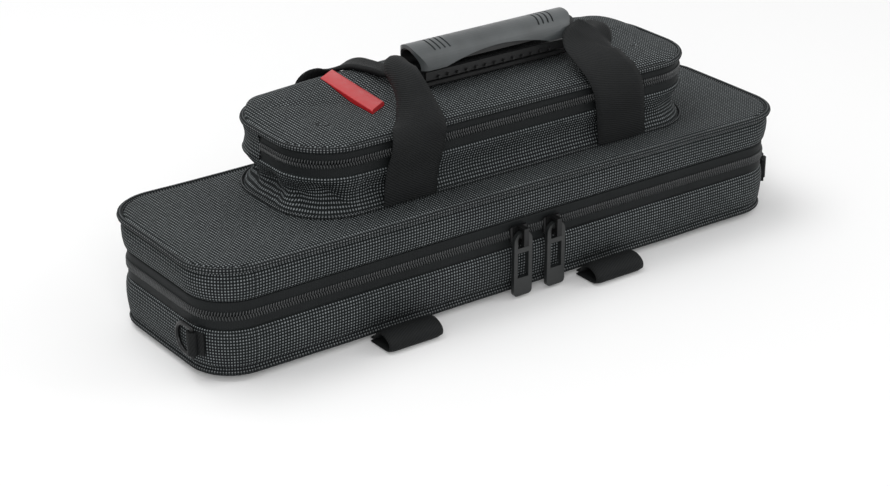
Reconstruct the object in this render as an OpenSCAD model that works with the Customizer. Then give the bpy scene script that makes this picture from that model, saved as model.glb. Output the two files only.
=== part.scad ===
// Zipped flute case: a padded base and lid, a zipped pouch on the lid and a webbing handle
// with a moulded grip. Millimetres. +X to the right end, -Y to the front, +Z up.
// The origin is the middle of the bottom, on the surface that the case stands on.

/* [Case] */
// Length of the case over its piping
case_l = 440; // [400:5:520]
// Depth of the case, front to back
case_w = 128; // [120:1:160]
// Height of the case at the lid panel
case_h = 72; // [66:1:90]
// Radius of the upright corners, in plan
corner_r = 32; // [28:1:40]
// Thickness of the padded walls and panels
wall = 5; // [4:0.5:7]
// Height of the line where base and lid meet
split_z = 41; // [38:1:46]
// Diameter of the piping sewn round the top edge
piping_d = 4.2; // [3:0.2:5]
// Diameter of the piping sewn round the bottom edge
foot_piping_d = 3.4; // [2.4:0.2:4]
// How far the fabric walls lie inside the piping
wall_inset = 2.4; // [1.5:0.1:3.5]
// How far the zip tape lies inside the piping
tape_inset = 4.4; // [3.5:0.1:5.5]

/* [Zips] */
// Width of both halves of the zip tape together
tape_w = 18.4; // [16:0.4:24]
// Thickness of the zip tape
tape_t = 1; // [0.6:0.1:1.4]
// Width of one half of the coil
coil_w = 2.6; // [2:0.1:3.2]
// Gap between the two halves of a closed zip
zip_gap = 0.4; // [0.3:0.1:0.8]
// Length of the slider body along the zip
slider_l = 13; // [9:0.5:14]
// Width of the slider body across the zip
slider_w = 11.5; // [10:0.5:14]
// Middle of the left slider, from the middle of the case
slider_left_x = -3; // [-60:1:0]
// Middle of the right slider, from the middle of the case
slider_right_x = 22.5; // [16:0.5:60]
// Length of a zip pull
pull_l = 42.4; // [34:0.2:42.8]
// Width of a zip pull
pull_w = 13.8; // [12:0.2:16]
// Thickness of a zip pull
pull_t = 2.8; // [2:0.1:3.4]

/* [Flute bed] */
// Length of the trough for the middle joint
body_trough_l = 372; // [350:2:380]
// Length of the trough for the head joint
head_trough_l = 226; // [210:2:236]
// Length of the trough for the foot joint
foot_trough_l = 130; // [110:2:134]
// Width of the troughs for the keyed joints
keyed_trough_w = 34; // [30:1:38]
// Width of the trough for the head joint
head_trough_w = 29; // [26:1:34]
// Depth of the troughs
trough_depth = 26; // [20:1:28]
// Radius of the finger scoop between the troughs
scoop_r = 15; // [12:1:18]
// Thickness of the pad inside the lid
lid_pad_t = 11; // [8:1:14]

/* [Pouch] */
// Length of the pouch
pouch_l = 302; // [270:2:330]
// Depth of the pouch, front to back
pouch_w = 100; // [92:1:106]
// Height of the pouch top above the lid panel
pouch_h = 45; // [42:1:52]
// Radius of the upright corners of the pouch, in plan
pouch_r = 36; // [30:1:42]
// Middle of the pouch along the case
pouch_x = 12; // [-10:1:20]
// Middle of the pouch across the case
pouch_y = 9.5; // [6:0.5:10]
// Thickness of the pouch fabric walls
pouch_wall_t = 2.4; // [1.6:0.2:3]
// Thickness of the pouch top panel
flap_t = 3.2; // [2.4:0.2:4]
// Rise of the pouch top panel in its middle
flap_crown = 1.4; // [0:0.2:2]
// How far the soft pouch wall draws in at half height
pinch = 4; // [0:0.5:5]
// Depth of the upright folds in the pouch wall
fold_depth = 1.5; // [0:0.25:2]
// How far the pouch zip reaches from the front towards the back of each end
zip_reach = 57; // [40:1:70]
// Length of the bare raised badge
badge_l = 64; // [50:1:66]
// Width of the bare raised badge
badge_w = 13.5; // [10:0.5:18]
// Height of the bare raised badge
badge_t = 2.4; // [1.6:0.2:3]
// Place of the badge along the case
badge_x = -67; // [-80:1:-60]

/* [Handle] */
// Width of the webbing
web_w = 38; // [30:1:40]
// Thickness of the webbing
web_t = 2.2; // [1.6:0.1:2.4]
// Middle of the left leg of the straps, at its foot
strap_left_x = -65; // [-72:1:-60]
// Middle of the right leg of the straps, at its foot
strap_right_x = 93; // [86:1:100]
// Length of the grip
grip_l = 120; // [106:2:124]
// Middle of the grip along the case
grip_x = 24; // [18:1:28]
// Outer radius of the grip
grip_r = 13.2; // [13:0.1:14]
// Thickness of the grip cover
grip_t = 2.4; // [2:0.1:2.6]
// Number of pegs in one row
peg_count = 13; // [8:1:15]
// Length of the pegs
peg_l = 2; // [1:0.25:2.5]

/* [Fittings] */
// Inner width of the D-ring
ring_w = 15; // [13:0.5:17]
// Diameter of the D-ring wire
ring_d = 2.8; // [2.4:0.2:3.2]
// How far the bow of the D-ring reaches from its straight bar
ring_reach = 17; // [14:0.5:22]
// Height of the middle of the D-ring
ring_z = 23.5; // [22:0.5:25]
// Left edge of the left bottom loop
loop_left_x = -112; // [-130:1:-90]
// Left edge of the right bottom loop
loop_right_x = 43; // [30:1:60]
// Depth of the bottom loops, front to back
loop_d = 18; // [14:1:24]
// Height of the bottom loops
loop_h = 11; // [8:0.5:14]

/* [Hidden] */
$fn = 48;

fabric = [0.16, 0.17, 0.18];
tape_black = [0.05, 0.05, 0.055];
webbing = [0.11, 0.115, 0.12];
pull_grey = [0.14, 0.14, 0.15];
grip_grey = [0.3, 0.31, 0.32];
badge_red = [0.7, 0.05, 0.06];
plush = [0.09, 0.09, 0.1];

// Clearance between soft pieces of different bodies
soft_gap = 0.3;
// Half height of the gap in the zip line, and the recess that the tape lies in
half_gap = zip_gap / 2;
shell_in = tape_inset + tape_t;
inner_in = shell_in + wall - tape_t;
tape_low = split_z - tape_w / 2;
tape_high = split_z + tape_w / 2;
front_y = -case_w / 2;
rear_y = case_w / 2;

// ---- Helpers -------------------------------------------------------------------------------

// Points on an arc in the profile plane
function arc(c, r, a0, a1, n = 6) =
    [for (i = [0:n]) c + r * [cos(a0 + (a1 - a0) * i / n), sin(a0 + (a1 - a0) * i / n)]];

// Corner cutting, which smooths an open line of points and keeps its ends
function cut_corners(p) = concat([p[0]],
    [for (i = [0:len(p) - 2]) each [p[i] * 0.75 + p[i + 1] * 0.25, p[i] * 0.25 + p[i + 1] * 0.75]],
    [p[len(p) - 1]]);

// A thin strip along an open line of points, as a closed outline
function strip(p, t) = let (
    n = len(p),
    dir = [for (i = [0:n - 1]) let (d = p[min(i + 1, n - 1)] - p[max(i - 1, 0)]) d / norm(d)],
    side = [for (d = dir) [-d[1], d[0]] * t / 2])
    concat([for (i = [0:n - 1]) p[i] + side[i]], [for (i = [n - 1:-1:0]) p[i] - side[i]]);

// Sweeps a profile round a rectangle with round corners. In the profile, x is the distance
// outside the outline and y is the height.
module rim(l, w, r, rear = true) {
    for (sx = [-1, 1])
        for (sy = [-1, 1])
            translate([sx * (l / 2 - r), sy * (w / 2 - r), 0])
                rotate(sy > 0 ? (sx > 0 ? 0 : 90) : (sx > 0 ? 270 : 180))
                    rotate_extrude(angle = 90) translate([r, 0]) children();
    for (sx = [-1, 1])
        translate([sx * l / 2, 0, 0]) rotate([90, 0, sx > 0 ? 0 : 180])
            linear_extrude(w - 2 * r, center = true) children();
    for (sy = rear ? [-1, 1] : [-1])
        translate([0, sy * w / 2, 0]) rotate([90, 0, sy > 0 ? 90 : -90])
            linear_extrude(l - 2 * r, center = true) children();
}

// A flat slab of the same outline, inset from it
module slab(l, w, r, inset, z0, z1) {
    rim(l, w, r) translate([-r, z0]) square([r - inset, z1 - z0]);
    translate([0, 0, (z0 + z1) / 2]) cube([l - 2 * r, w - 2 * r, z1 - z0], center = true);
}

module case_rim(rear = true) rim(case_l, case_w, corner_r, rear) children();

module at_pouch() translate([pouch_x, pouch_y, 0]) children();

// ---- Base ----------------------------------------------------------------------------------

foot_seam = [-5.2, 4.8];
foot_round = 10;
top_seam = [-piping_d / 2, case_h - piping_d / 2 + 0.3];

module base_shell() color(fabric) {
    case_rim() difference() {
        polygon(concat(
            [[-corner_r, 0]],
            arc([-foot_round - tape_inset, foot_round], foot_round, 270, 340, 5),
            [[-wall_inset - 1.4, foot_round + 3], [-wall_inset - 0.7, tape_low * 0.55],
             [-wall_inset - 0.6, tape_low * 0.8], [-wall_inset - 1.2, tape_low - 1.5],
             [-tape_inset, tape_low], [-shell_in, tape_low], [-shell_in, split_z - half_gap],
             [-inner_in, split_z - half_gap]],
            arc([-inner_in - 3, wall + 3], 3, 0, -90, 3),
            [[-corner_r, wall]]));
        translate(foot_seam) circle(d = foot_piping_d + 0.1, $fn = 24);
    }
    translate([0, 0, wall / 2])
        cube([case_l - 2 * corner_r, case_w - 2 * corner_r, wall], center = true);
}

module bottom_piping() color(tape_black)
    case_rim() translate(foot_seam) circle(d = foot_piping_d, $fn = 24);

// One half of the zip: side is -1 below the zip line and 1 above it
module tape_profile(side) {
    low = side < 0 ? tape_low + 0.2 : split_z + half_gap;
    translate([-shell_in, low]) square([tape_t, tape_w / 2 - half_gap - 0.2]);
}

module coil_profile(side) {
    z = split_z + side * (half_gap / 2 + coil_w / 2);
    polygon([for (a = [-90:30:90]) [-tape_inset + 0.02, z] + coil_w / 2 * [cos(a) * 0.9, sin(a)]]);
}

module base_zip_tape() color(tape_black) case_rim(false) tape_profile(-1);

module base_zip_coil() color(tape_black) case_rim(false) coil_profile(-1);

// Fabric strip that joins base and lid behind, in its two halves
module hinge_strip(side) {
    low = side < 0 ? tape_low + 0.2 : split_z + half_gap;
    translate([0, rear_y - shell_in + tape_t / 2, low + (tape_w / 2 - half_gap - 0.2) / 2])
        cube([case_l - 2 * corner_r, tape_t, tape_w / 2 - half_gap - 0.2], center = true);
}

module hinge_strip_lower() color(fabric) hinge_strip(-1);

bed_gap = 0.2;
bed_in = inner_in + bed_gap;
bed_top = split_z - 3;
trough_floor = bed_top - trough_depth;
front_trough_y = -case_w / 4 + 6;
rear_trough_y = case_w / 4 - 6;

// A straight trough with a round bottom, open upwards
module trough(x, y, l, w) {
    r = w / 2;
    low = max(r, 1);
    translate([x, y, 0]) rotate([90, 0, 90]) linear_extrude(l, center = true)
        polygon(concat([[r, bed_top + 1]], arc([0, trough_floor + low], r, 0, -180, 12),
            [[-r, bed_top + 1]]));
}

bed_bevel = 3.2;

module flute_bed() color(plush) difference() {
    union() {
        slab(case_l, case_w, corner_r, bed_in, wall + bed_gap + bed_bevel, bed_top);
        case_rim() polygon([[-corner_r, wall + bed_gap], [-bed_in - bed_bevel, wall + bed_gap],
            [-bed_in, wall + bed_gap + bed_bevel], [-corner_r, wall + bed_gap + bed_bevel]]);
        translate([0, 0, wall + bed_gap + bed_bevel / 2])
            cube([case_l - 2 * corner_r, case_w - 2 * corner_r, bed_bevel], center = true);
    }
    trough(0, front_trough_y, body_trough_l, keyed_trough_w);
    trough((head_trough_l - body_trough_l) / 2, rear_trough_y, head_trough_l, head_trough_w);
    trough((body_trough_l - foot_trough_l) / 2, rear_trough_y, foot_trough_l, keyed_trough_w);
    for (x = [-body_trough_l / 4, body_trough_l / 3])
        translate([x, 0, trough_floor + trough_depth / 2]) cylinder(r = scoop_r, h = trough_depth);
}

// A loop of webbing sewn under the bottom piping, which bulges forwards on the floor
module bottom_loop(x) {
    tail_y = front_y - foot_seam[0] - foot_piping_d / 2 - 0.2 - web_t / 2;
    tip_y = front_y - loop_d + web_t / 2;
    low = web_t / 2 + 0.05;
    high = loop_h - web_t / 2;
    mid = cut_corners(cut_corners([[tail_y, 3 * low], [tail_y - 2.2, high * 0.75],
        [tail_y - 6, high + 0.5], [tip_y + 6, high], [tip_y - 0.4, high * 0.7],
        [tip_y - 0.4, low + 0.6], [tip_y + 4, low], [tail_y, low]]));
    translate([x, 0, 0]) rotate([90, 0, 90]) linear_extrude(web_w) polygon(strip(mid, web_t));
}

module bottom_loop_left() color(webbing) bottom_loop(loop_left_x);

module bottom_loop_right() color(webbing) bottom_loop(loop_right_x);

// ---- D-rings at the front corners -----------------------------------------------------------

ring_play = 0.25;
tab_t = 1.6;
tab_h = ring_w - 2 * soft_gap;
// Radius of the base wall round a front corner, and how far round it the bar and the tab lie
corner_wall_r = corner_r - wall_inset - 0.6;
corner_at = [case_l / 2 - corner_r, front_y + corner_r];
bar_turn = 16.5;
tab_turn = 30;
ring_out = corner_wall_r + soft_gap + ring_d / 2;
ring_at = corner_at + ring_out * [1, -tan(bar_turn)];

// Webbing tab folded over the straight bar of the D-ring, seated on the round corner
module ring_tab(side) {
    far = 2 * corner_r;
    translate([0, 0, ring_z - tab_h / 2]) linear_extrude(tab_h) difference() {
        union() {
            translate([side * ring_at[0], ring_at[1]]) circle(r = ring_d / 2 + ring_play + tab_t);
            translate([side * corner_at[0], corner_at[1]]) intersection() {
                circle(r = corner_wall_r + 1.4 * tab_t);
                polygon([[0, 0], far * [side * cos(bar_turn), -sin(bar_turn)],
                    far * [side * cos(tab_turn), -sin(tab_turn)]]);
            }
        }
        translate([side * ring_at[0], ring_at[1]]) circle(r = ring_d / 2 + ring_play);
        translate([side * corner_at[0], corner_at[1]]) circle(r = corner_wall_r + 0.02, $fn = 96);
    }
}

module ring_tab_left() color(webbing) ring_tab(-1);

module ring_tab_right() color(webbing) ring_tab(1);

// D-ring of round wire: an upright bar in the tab and a bow that lies along the end wall
module d_ring(side) {
    r = ring_w / 2 + ring_d / 2;
    arm = ring_reach - r;
    translate([side * ring_at[0], ring_at[1], ring_z]) {
        cylinder(d = ring_d, h = 2 * r, center = true, $fn = 24);
        for (s = [-1, 1]) translate([0, 0, s * r]) {
            sphere(d = ring_d, $fn = 24);
            rotate([-90, 0, 0]) cylinder(d = ring_d, h = arm, $fn = 24);
        }
        translate([0, arm, 0]) rotate([0, 90, 0])
            rotate_extrude(angle = 180) translate([r, 0]) circle(d = ring_d, $fn = 24);
    }
}

module d_ring_left() color(pull_grey) d_ring(-1);

module d_ring_right() color(pull_grey) d_ring(1);

// ---- Sliders and pulls ----------------------------------------------------------------------

slider_t = 1.8;
slider_gap = 0.35;
slider_chamfer = 1.5;
coil_out = tape_inset - coil_w * 0.45;
bridge_w = 3.6;
bridge_t = 2.2;
bridge_side = 0.3;
post_h = 2;
// Height of the top bar of a pull, and the room for it under the bridge
bar_h = 2.7;
bridge_room = pull_t + 1.5;
bar_sweep = norm([bar_h, pull_t]) / 2;
pull_rise = slider_w / 2 - post_h - bar_sweep - 0.2;
window_top_h = pull_rise + slider_w / 2 + 0.6;

// Slider body on a coil, seen from the front with its back at y = 0
module slider_body() {
    x = slider_l / 2;
    z = slider_w / 2;
    c = slider_chamfer;
    difference() {
        rotate([90, 0, 0]) linear_extrude(slider_t)
            polygon([[-x, c - z], [c - x, -z], [x - c, -z], [x, c - z], [x, z - c], [x - c, z],
                [c - x, z], [-x, z - c]]);
        for (s = [-1, 1]) translate([s * x, -slider_t, 0])
            cylinder(r = slider_chamfer, h = slider_w + 1, center = true, $fn = 24);
    }
    // Bridge: two posts and a bar over them
    for (s = [-1, 1]) translate([0, -slider_t - bridge_room / 2, s * (z - post_h / 2)])
        cube([bridge_w, bridge_room + 0.1, post_h], center = true);
    translate([0, -slider_t - bridge_room - bridge_t / 2, 0])
        cube([bridge_w, bridge_t, slider_w], center = true);
}

// Pull: a frame with a round top bar, a window for the bridge, a crossbar, a long window and
// a solid bare end. Its top bar turns about z = 0, and is straight where the bridge lies over it.
module pull_plate(l, w, t) {
    top = bar_h / 2;
    half = w / 2;
    inner = half - t;
    corner = 2.5;
    bend = inner - bridge_w / 2 - bridge_side;
    cross = t + 0.4;
    window_low = -top - window_top_h;
    long_low = mix(window_low - cross, top - l, 0.58);
    rotate([90, 0, 0]) linear_extrude(t, center = true) difference() {
        polygon(concat([[half, top - half]], arc([0, top - half], half, 0, 180, 12),
            arc([corner - half, top - l + corner], corner, 180, 270, 3),
            arc([half - corner, top - l + corner], corner, 270, 360, 3)));
        polygon(concat(arc([inner - bend, -top - bend], bend, 0, 90, 6),
            arc([bend - inner, -top - bend], bend, 90, 180, 6),
            [[-inner, window_low], [inner, window_low]]));
        polygon([[-inner, window_low - cross], [-inner, long_low], [inner, long_low],
            [inner, window_low - cross]]);
    }
}

pull_y = front_y + coil_out - slider_gap - slider_t - bridge_room / 2;
pull_z = split_z + pull_rise;

module main_slider(x) translate([x, front_y + coil_out - slider_gap, split_z]) slider_body();

module main_pull(x) translate([x, pull_y, pull_z]) pull_plate(pull_l, pull_w, pull_t);

module slider_left() color(pull_grey) main_slider(slider_left_x);

module slider_right() color(pull_grey) main_slider(slider_right_x);

module pull_left() color(pull_grey) main_pull(slider_left_x);

module pull_right() color(pull_grey) main_pull(slider_right_x);

// ---- Lid ------------------------------------------------------------------------------------

module lid_shell() color(fabric) {
    case_rim() difference() {
        polygon(concat(
            [[-corner_r, case_h], [-piping_d / 2 - 0.6, case_h], [-wall_inset, case_h - piping_d],
             [-wall_inset + 0.3, case_h - piping_d - 4], [-wall_inset - 0.1, tape_high + 5],
             [-wall_inset - 1.2, tape_high + 1.2], [-tape_inset, tape_high], [-shell_in, tape_high],
             [-shell_in, split_z + half_gap], [-inner_in, split_z + half_gap]],
            arc([-inner_in - 3, case_h - wall - 3], 3, 0, 90, 3),
            [[-corner_r, case_h - wall]]));
        translate(top_seam) circle(d = piping_d + 0.1, $fn = 24);
    }
    translate([0, 0, case_h - wall / 2])
        cube([case_l - 2 * corner_r, case_w - 2 * corner_r, wall], center = true);
}

module lid_piping() color(tape_black) case_rim() translate(top_seam) circle(d = piping_d, $fn = 24);

module lid_zip_tape() color(tape_black) case_rim(false) tape_profile(1);

module lid_zip_coil() color(tape_black) case_rim(false) coil_profile(1);

module hinge_strip_upper() color(fabric) hinge_strip(1);

// Padded lining with a rounded lower edge
module lid_pad() color(plush) {
    z1 = case_h - wall - bed_gap;
    z0 = z1 - lid_pad_t;
    case_rim() polygon(concat([[-corner_r, z1], [-corner_r, z0]],
        arc([-bed_in - 6, z0 + 6], 6, -90, 0, 5), [[-bed_in, z1 - 3.2], [-bed_in - 3.2, z1]]));
    translate([0, 0, (z0 + z1) / 2])
        cube([case_l - 2 * corner_r, case_w - 2 * corner_r, z1 - z0], center = true);
}

// ---- Pouch on the lid -----------------------------------------------------------------------

pouch_top = case_h + pouch_h;
pouch_split = pouch_top - 11.8;
pouch_tape_low = pouch_split - 9.4;
pouch_tape_in = 3;
pouch_piping_d = 3.8;
pouch_seam_d = 1.4;
pouch_front = pouch_y - pouch_w / 2;
pouch_back = pouch_y + pouch_w / 2;

// Point on the pouch outline at share u of the way round, moved out by d, and its height
outline_straight = [pouch_l - 2 * pouch_r, pouch_w - 2 * pouch_r];
outline_turn = PI * pouch_r / 2;
outline_all = 2 * outline_straight[0] + 2 * outline_straight[1] + 4 * outline_turn;

function leg_end(k) = k % 2 == 0 ? outline_straight[0] : outline_straight[1];

function outline_at(s, d, k = 0) =
    s <= leg_end(k) ? turned(k, [s - leg_end(k) / 2, -leg_end(k + 1) / 2 - pouch_r - d])
    : s <= leg_end(k) + outline_turn ? let (a = (s - leg_end(k)) / pouch_r * 180 / PI - 90)
        turned(k, [leg_end(k) / 2, -leg_end(k + 1) / 2] + (pouch_r + d) * [cos(a), sin(a)])
    : outline_at(s - leg_end(k) - outline_turn, d, k + 1);

function turned(k, p) = k % 4 == 0 ? p : k % 4 == 1 ? [-p[1], p[0]]
    : k % 4 == 2 ? [-p[0], -p[1]] : [p[1], -p[0]];

wall_steps = 84;
wall_rows = [0, 0.14, 0.34, 0.55, 0.75, 0.9, 1];
wall_low = case_h + 0.02;
wall_high = pouch_tape_low;

// How far the soft wall stands out at share v of its height: drawn in at half height, with
// upright folds that are deepest round the corners
function wall_out(i, v) = let (
    s = outline_all * i / wall_steps,
    waist = sin(v * 180),
    corner = pow(abs(sin(i / wall_steps * 360 + 40)), 2),
    ripple = sin(i * 360 / 7) * 0.6 + sin(i * 360 / 4.6 + v * 90) * 0.4)
    -pinch * waist - fold_depth * waist * corner * (0.5 + 0.5 * ripple) - 0.4;

function wall_ring(v, t) = [for (i = [0:wall_steps - 1])
    let (p = outline_at(outline_all * i / wall_steps, wall_out(i, v) - t))
    [p[0], p[1], wall_low + (wall_high - wall_low) * v]];

// A closed skin over rings of points that run anticlockwise: each ring joins the next one,
// and where it is a tube wall, the last joins the first
function ring_faces(n, rings, closed) = [for (j = [0:rings - (closed ? 1 : 2)]) for (i = [0:n - 1])
    let (a = j * n + i, b = j * n + (i + 1) % n,
        c = ((j + 1) % rings) * n + (i + 1) % n, d = ((j + 1) % rings) * n + i)
    each [[a, d, c], [a, c, b]]];

module pouch_wall() color(fabric) at_pouch() polyhedron(
    concat([for (v = wall_rows) each wall_ring(v, 0)],
        [for (j = [len(wall_rows) - 1:-1:0]) each wall_ring(wall_rows[j], pouch_wall_t)]),
    ring_faces(wall_steps, 2 * len(wall_rows), true));

module pouch_rim(rear = true) at_pouch() rim(pouch_l, pouch_w, pouch_r, rear) children();

// Cord in the seam where the pouch meets the lid
module pouch_seam() color(tape_black)
    pouch_rim() translate([pouch_seam_d / 2 - 0.3, case_h + pouch_seam_d / 2])
        circle(d = pouch_seam_d, $fn = 16);

// Room round a form that is cut in two
cut_room = 20;

// The front of the pouch, as far back as the zip reaches, or the rest of it
module pouch_part(front) {
    y0 = front ? pouch_front - cut_room : pouch_front + zip_reach;
    y1 = front ? pouch_front + zip_reach - 0.02 : pouch_back + cut_room;
    intersection() {
        children();
        translate([pouch_x - pouch_l, y0, case_h - cut_room])
            cube([2 * pouch_l, y1 - y0, pouch_h + 2 * cut_room]);
    }
}

// The lower half of the zip, and the wall behind it that stays with the pouch
module pouch_zip_tape() color(tape_black) pouch_rim()
    translate([-pouch_tape_in, pouch_tape_low]) square([tape_t, pouch_split - half_gap - pouch_tape_low]);

module pouch_zip_coil() color(tape_black) pouch_part(true) pouch_rim()
    pouch_coil_profile(-1);

module pouch_coil_profile(side) {
    z = pouch_split + side * (half_gap / 2 + coil_w / 2);
    polygon([for (a = [-90:30:90])
        [-pouch_tape_in + tape_t + 0.02, z] + coil_w / 2 * [cos(a) * 0.9, sin(a)]]);
}

flap_edge_z = pouch_top - 1.6;
flap_seam = [-pouch_piping_d / 2 - 0.1, flap_edge_z - pouch_piping_d / 2 + 0.5];
flap_under = flap_edge_z - flap_t - 0.6;

module flap_panel() color(fabric) {
    pouch_rim() difference() {
        polygon([[-pouch_r, pouch_top - flap_crown * 0.1], [-pouch_r * 0.6, pouch_top - flap_crown * 0.3],
            [-pouch_r * 0.25, pouch_top - flap_crown * 0.75], [-3, flap_edge_z], [-1.2, flap_edge_z - 1],
            [-1.2, flap_under], [-pouch_r, flap_under]]);
        translate(flap_seam) circle(d = pouch_piping_d + 0.1, $fn = 24);
    }
    at_pouch() translate([0, 0, (pouch_top - flap_crown * 0.1 + flap_under) / 2])
        cube([pouch_l - 2 * pouch_r, pouch_w - 2 * pouch_r, pouch_top - flap_crown * 0.1 - flap_under],
            center = true);
}

module flap_piping() color(tape_black)
    pouch_rim() translate(flap_seam) circle(d = pouch_piping_d, $fn = 24);

module flap_zip_tape() color(tape_black) pouch_rim()
    translate([-pouch_tape_in, pouch_split + half_gap]) square([tape_t, flap_under - pouch_split - half_gap]);

module flap_zip_coil() color(tape_black) pouch_part(true) pouch_rim()
    pouch_coil_profile(1);

// Bare raised bar across the pouch top, with slanted ends and bevelled edges
badge_from = 30;
badge_bevel = 1.6;

module flap_badge() color(badge_red) {
    z = pouch_top - flap_crown * 0.1;
    slant = badge_w * 0.55;
    half = badge_w / 2;
    y0 = pouch_front + badge_from;
    y1 = y0 + badge_l;
    translate([badge_x, 0, z]) difference() {
        linear_extrude(badge_t)
            polygon([[-half, y0], [half, y0 + slant], [half, y1], [-half, y1 - slant]]);
        for (s = [-1, 1]) translate([s * half, (y0 + y1) / 2, badge_t])
            rotate([0, 45, 0]) cube([badge_bevel, 2 * badge_l, badge_bevel], center = true);
    }
}

// Slider of the pouch zip, parked at the far end of the zip
pouch_slider_y = pouch_front + zip_reach - slider_l / 2 - 0.5;
pouch_slider_x = pouch_x + pouch_l / 2 - pouch_tape_in + tape_t + coil_w * 0.45 + slider_gap;
pouch_pull_l = 30;
pouch_pull_w = 12.4;
pouch_pull_x = pouch_slider_x + slider_t + bridge_room / 2;

module pouch_slider() color(pull_grey)
    translate([pouch_slider_x, pouch_slider_y, pouch_split]) rotate(90) slider_body();

module pouch_pull() color(pull_grey)
    translate([pouch_pull_x, pouch_slider_y, pouch_split + pull_rise])
        rotate(90) pull_plate(pouch_pull_l, pouch_pull_w, pull_t);

// ---- Handle ---------------------------------------------------------------------------------

grip_y = pouch_y - 1.5;
grip_z = pouch_top + 18;
grip_left = grip_x - grip_l / 2;
grip_right = grip_x + grip_l / 2;
strap_foot_z = case_h + web_t / 2 + soft_gap;
front_face = pouch_front - soft_gap - web_t / 2 - 0.3;
back_face = pouch_back + soft_gap + web_t / 2 + 0.1;

// The webbing folds up into a bundle that runs through the grip and a little past its ends
bundle_d = 6.2;
bundle_h = 5.4;
bundle_out = [8, 6];
front_bundle = [grip_y - 4.9, grip_z - 5.7];
rear_bundle = [grip_y + 3, grip_z - 4.2];

// Stations of a webbing leg: depth and height of its middle line, and how far the webbing has
// turned from its foot (0) towards the grip (1)
front_line = [[front_face, strap_foot_z, 0], [front_face - 0.1, case_h + 18, 0],
    [front_face - 1.4, case_h + 24, 0], [front_face - 2.6, case_h + 30, 0.02],
    [front_face - 3.2, pouch_top - 7, 0.05], [front_face - 1.6, pouch_top + 0.7, 0.12],
    [front_face + 6.2, pouch_top + 6.5, 0.26], [front_face + 18, front_bundle[1] - 1, 0.5],
    [front_face + 30, front_bundle[1], 0.8], concat(front_bundle, [1])];
rear_line = [[back_face, strap_foot_z, 0], [back_face + 0.2, case_h + 22, 0],
    [back_face + 2.6, pouch_split, 0.02], [back_face + 2.6, pouch_top - 4, 0.06],
    [back_face, pouch_top + 3.2, 0.14], [back_face - 11, pouch_top + 8, 0.34],
    [back_face - 24, rear_bundle[1] - 1.2, 0.6], [back_face - 38, rear_bundle[1], 0.85],
    concat(rear_bundle, [1])];

function mix(a, b, k) = a + (b - a) * k;

// Middle points of a leg in space, each with its share of the turn
function leg_path(line, foot_x, end_x) = [for (p = cut_corners(cut_corners(line)))
    [mix(foot_x, end_x, pow(p[2], 1.6)), p[0], p[1], p[2]]];

// Four corners of the webbing at point i of a leg. fore is 1 on the front strap and -1 on the
// rear one. As the leg turns it narrows and thickens into the bundle.
function leg_section(path, i, fore) = let (
    n = len(path),
    ahead = path[min(i + 1, n - 1)],
    behind = path[max(i - 1, 0)],
    inward = path[n - 1][0] > path[0][0] ? 1 : -1,
    run = [ahead[0] - behind[0], ahead[1] - behind[1], ahead[2] - behind[2]],
    k = path[i][3],
    across = i == n - 1 ? [0, -inward * fore, 0] : [cos(90 * k), -inward * fore * sin(90 * k), 0],
    up = i == n - 1 ? [0, 0, -fore] : cross(run, across) / norm(cross(run, across)),
    half = mix(web_w, bundle_d, k * k) / 2,
    thick = mix(web_t, bundle_h, k * k) / 2,
    c = [path[i][0], path[i][1], path[i][2]])
    [c - half * across - thick * up, c + half * across - thick * up,
        c + half * across + thick * up, c - half * across + thick * up];

// One strap as a single length of webbing: up from the left foot, through the grip as a
// bundle, and down to the right foot
module strap(line, fore) {
    left = leg_path(line, strap_left_x, grip_left - bundle_out[0]);
    right = leg_path(line, strap_right_x, grip_right + bundle_out[1]);
    n = len(left);
    rows = concat([for (i = [0:n - 1]) leg_section(left, i, fore)],
        [for (i = [n - 1:-1:0]) let (c = leg_section(right, i, fore)) [c[1], c[0], c[3], c[2]]]);
    polyhedron([for (r = rows) each r],
        concat(ring_faces(4, 2 * n, false), [[0, 1, 2, 3]],
            [[8 * n - 1, 8 * n - 2, 8 * n - 3, 8 * n - 4]]));
}

module front_strap() color(webbing) strap(front_line, 1);

module rear_strap() color(webbing) strap(rear_line, -1);

liner_t = 1;
liner_r = grip_r - grip_t;
liner_inset = 1.5;
// Angles about the middle line of the grip where the cover and the liner begin and end
mouth_top = 184;
mouth_step = 10;
shell_end = -30;
lip_end = -82;
lip_y = grip_y - 9.5;
lip_top = grip_z - 10;
scallop = 6;

// Runs a profile of depth and height along the grip, with round ends in plan
module along_grip(l, r_end) intersection() {
    translate([grip_x, 0, 0]) rotate([90, 0, 90]) linear_extrude(l, center = true) children();
    translate([grip_x, grip_y, 0])
        slab(l, 2 * grip_r + 1, r_end, 0, grip_z - grip_r - 1, grip_z + grip_r + 1);
}

// Four curved slots across the top of the grip, side by side
module grip_slots(x, side) {
    bow = 17;
    for (i = [-1.5:1:1.5])
        translate([x + i * 3.7 - side * bow, grip_y - 2, grip_z + 3])
            rotate(side > 0 ? -24 : 156) rotate_extrude(angle = 48)
                translate([bow - 0.6, 0]) square([1.2, grip_r]);
}

// Moulded outer shell, open along its lower front, where its edge is drawn up in the middle
module grip_cover() color(grip_grey) difference() {
    along_grip(grip_l, 10) polygon(concat(
        arc([grip_y, grip_z], grip_r, mouth_top, shell_end, 30),
        arc([grip_y, grip_z], liner_r, shell_end, mouth_top, 30)));
    reach = grip_l / 3;
    scallop_r = (reach * reach + scallop * scallop) / (2 * scallop);
    translate([grip_x, grip_y - grip_r / 2, grip_z - 1 + scallop - scallop_r]) rotate([90, 0, 0])
        cylinder(r = scallop_r, h = grip_r, $fn = 96);
    grip_slots(grip_left + 19, -1);
    grip_slots(grip_right - 19, 1);
}

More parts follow.
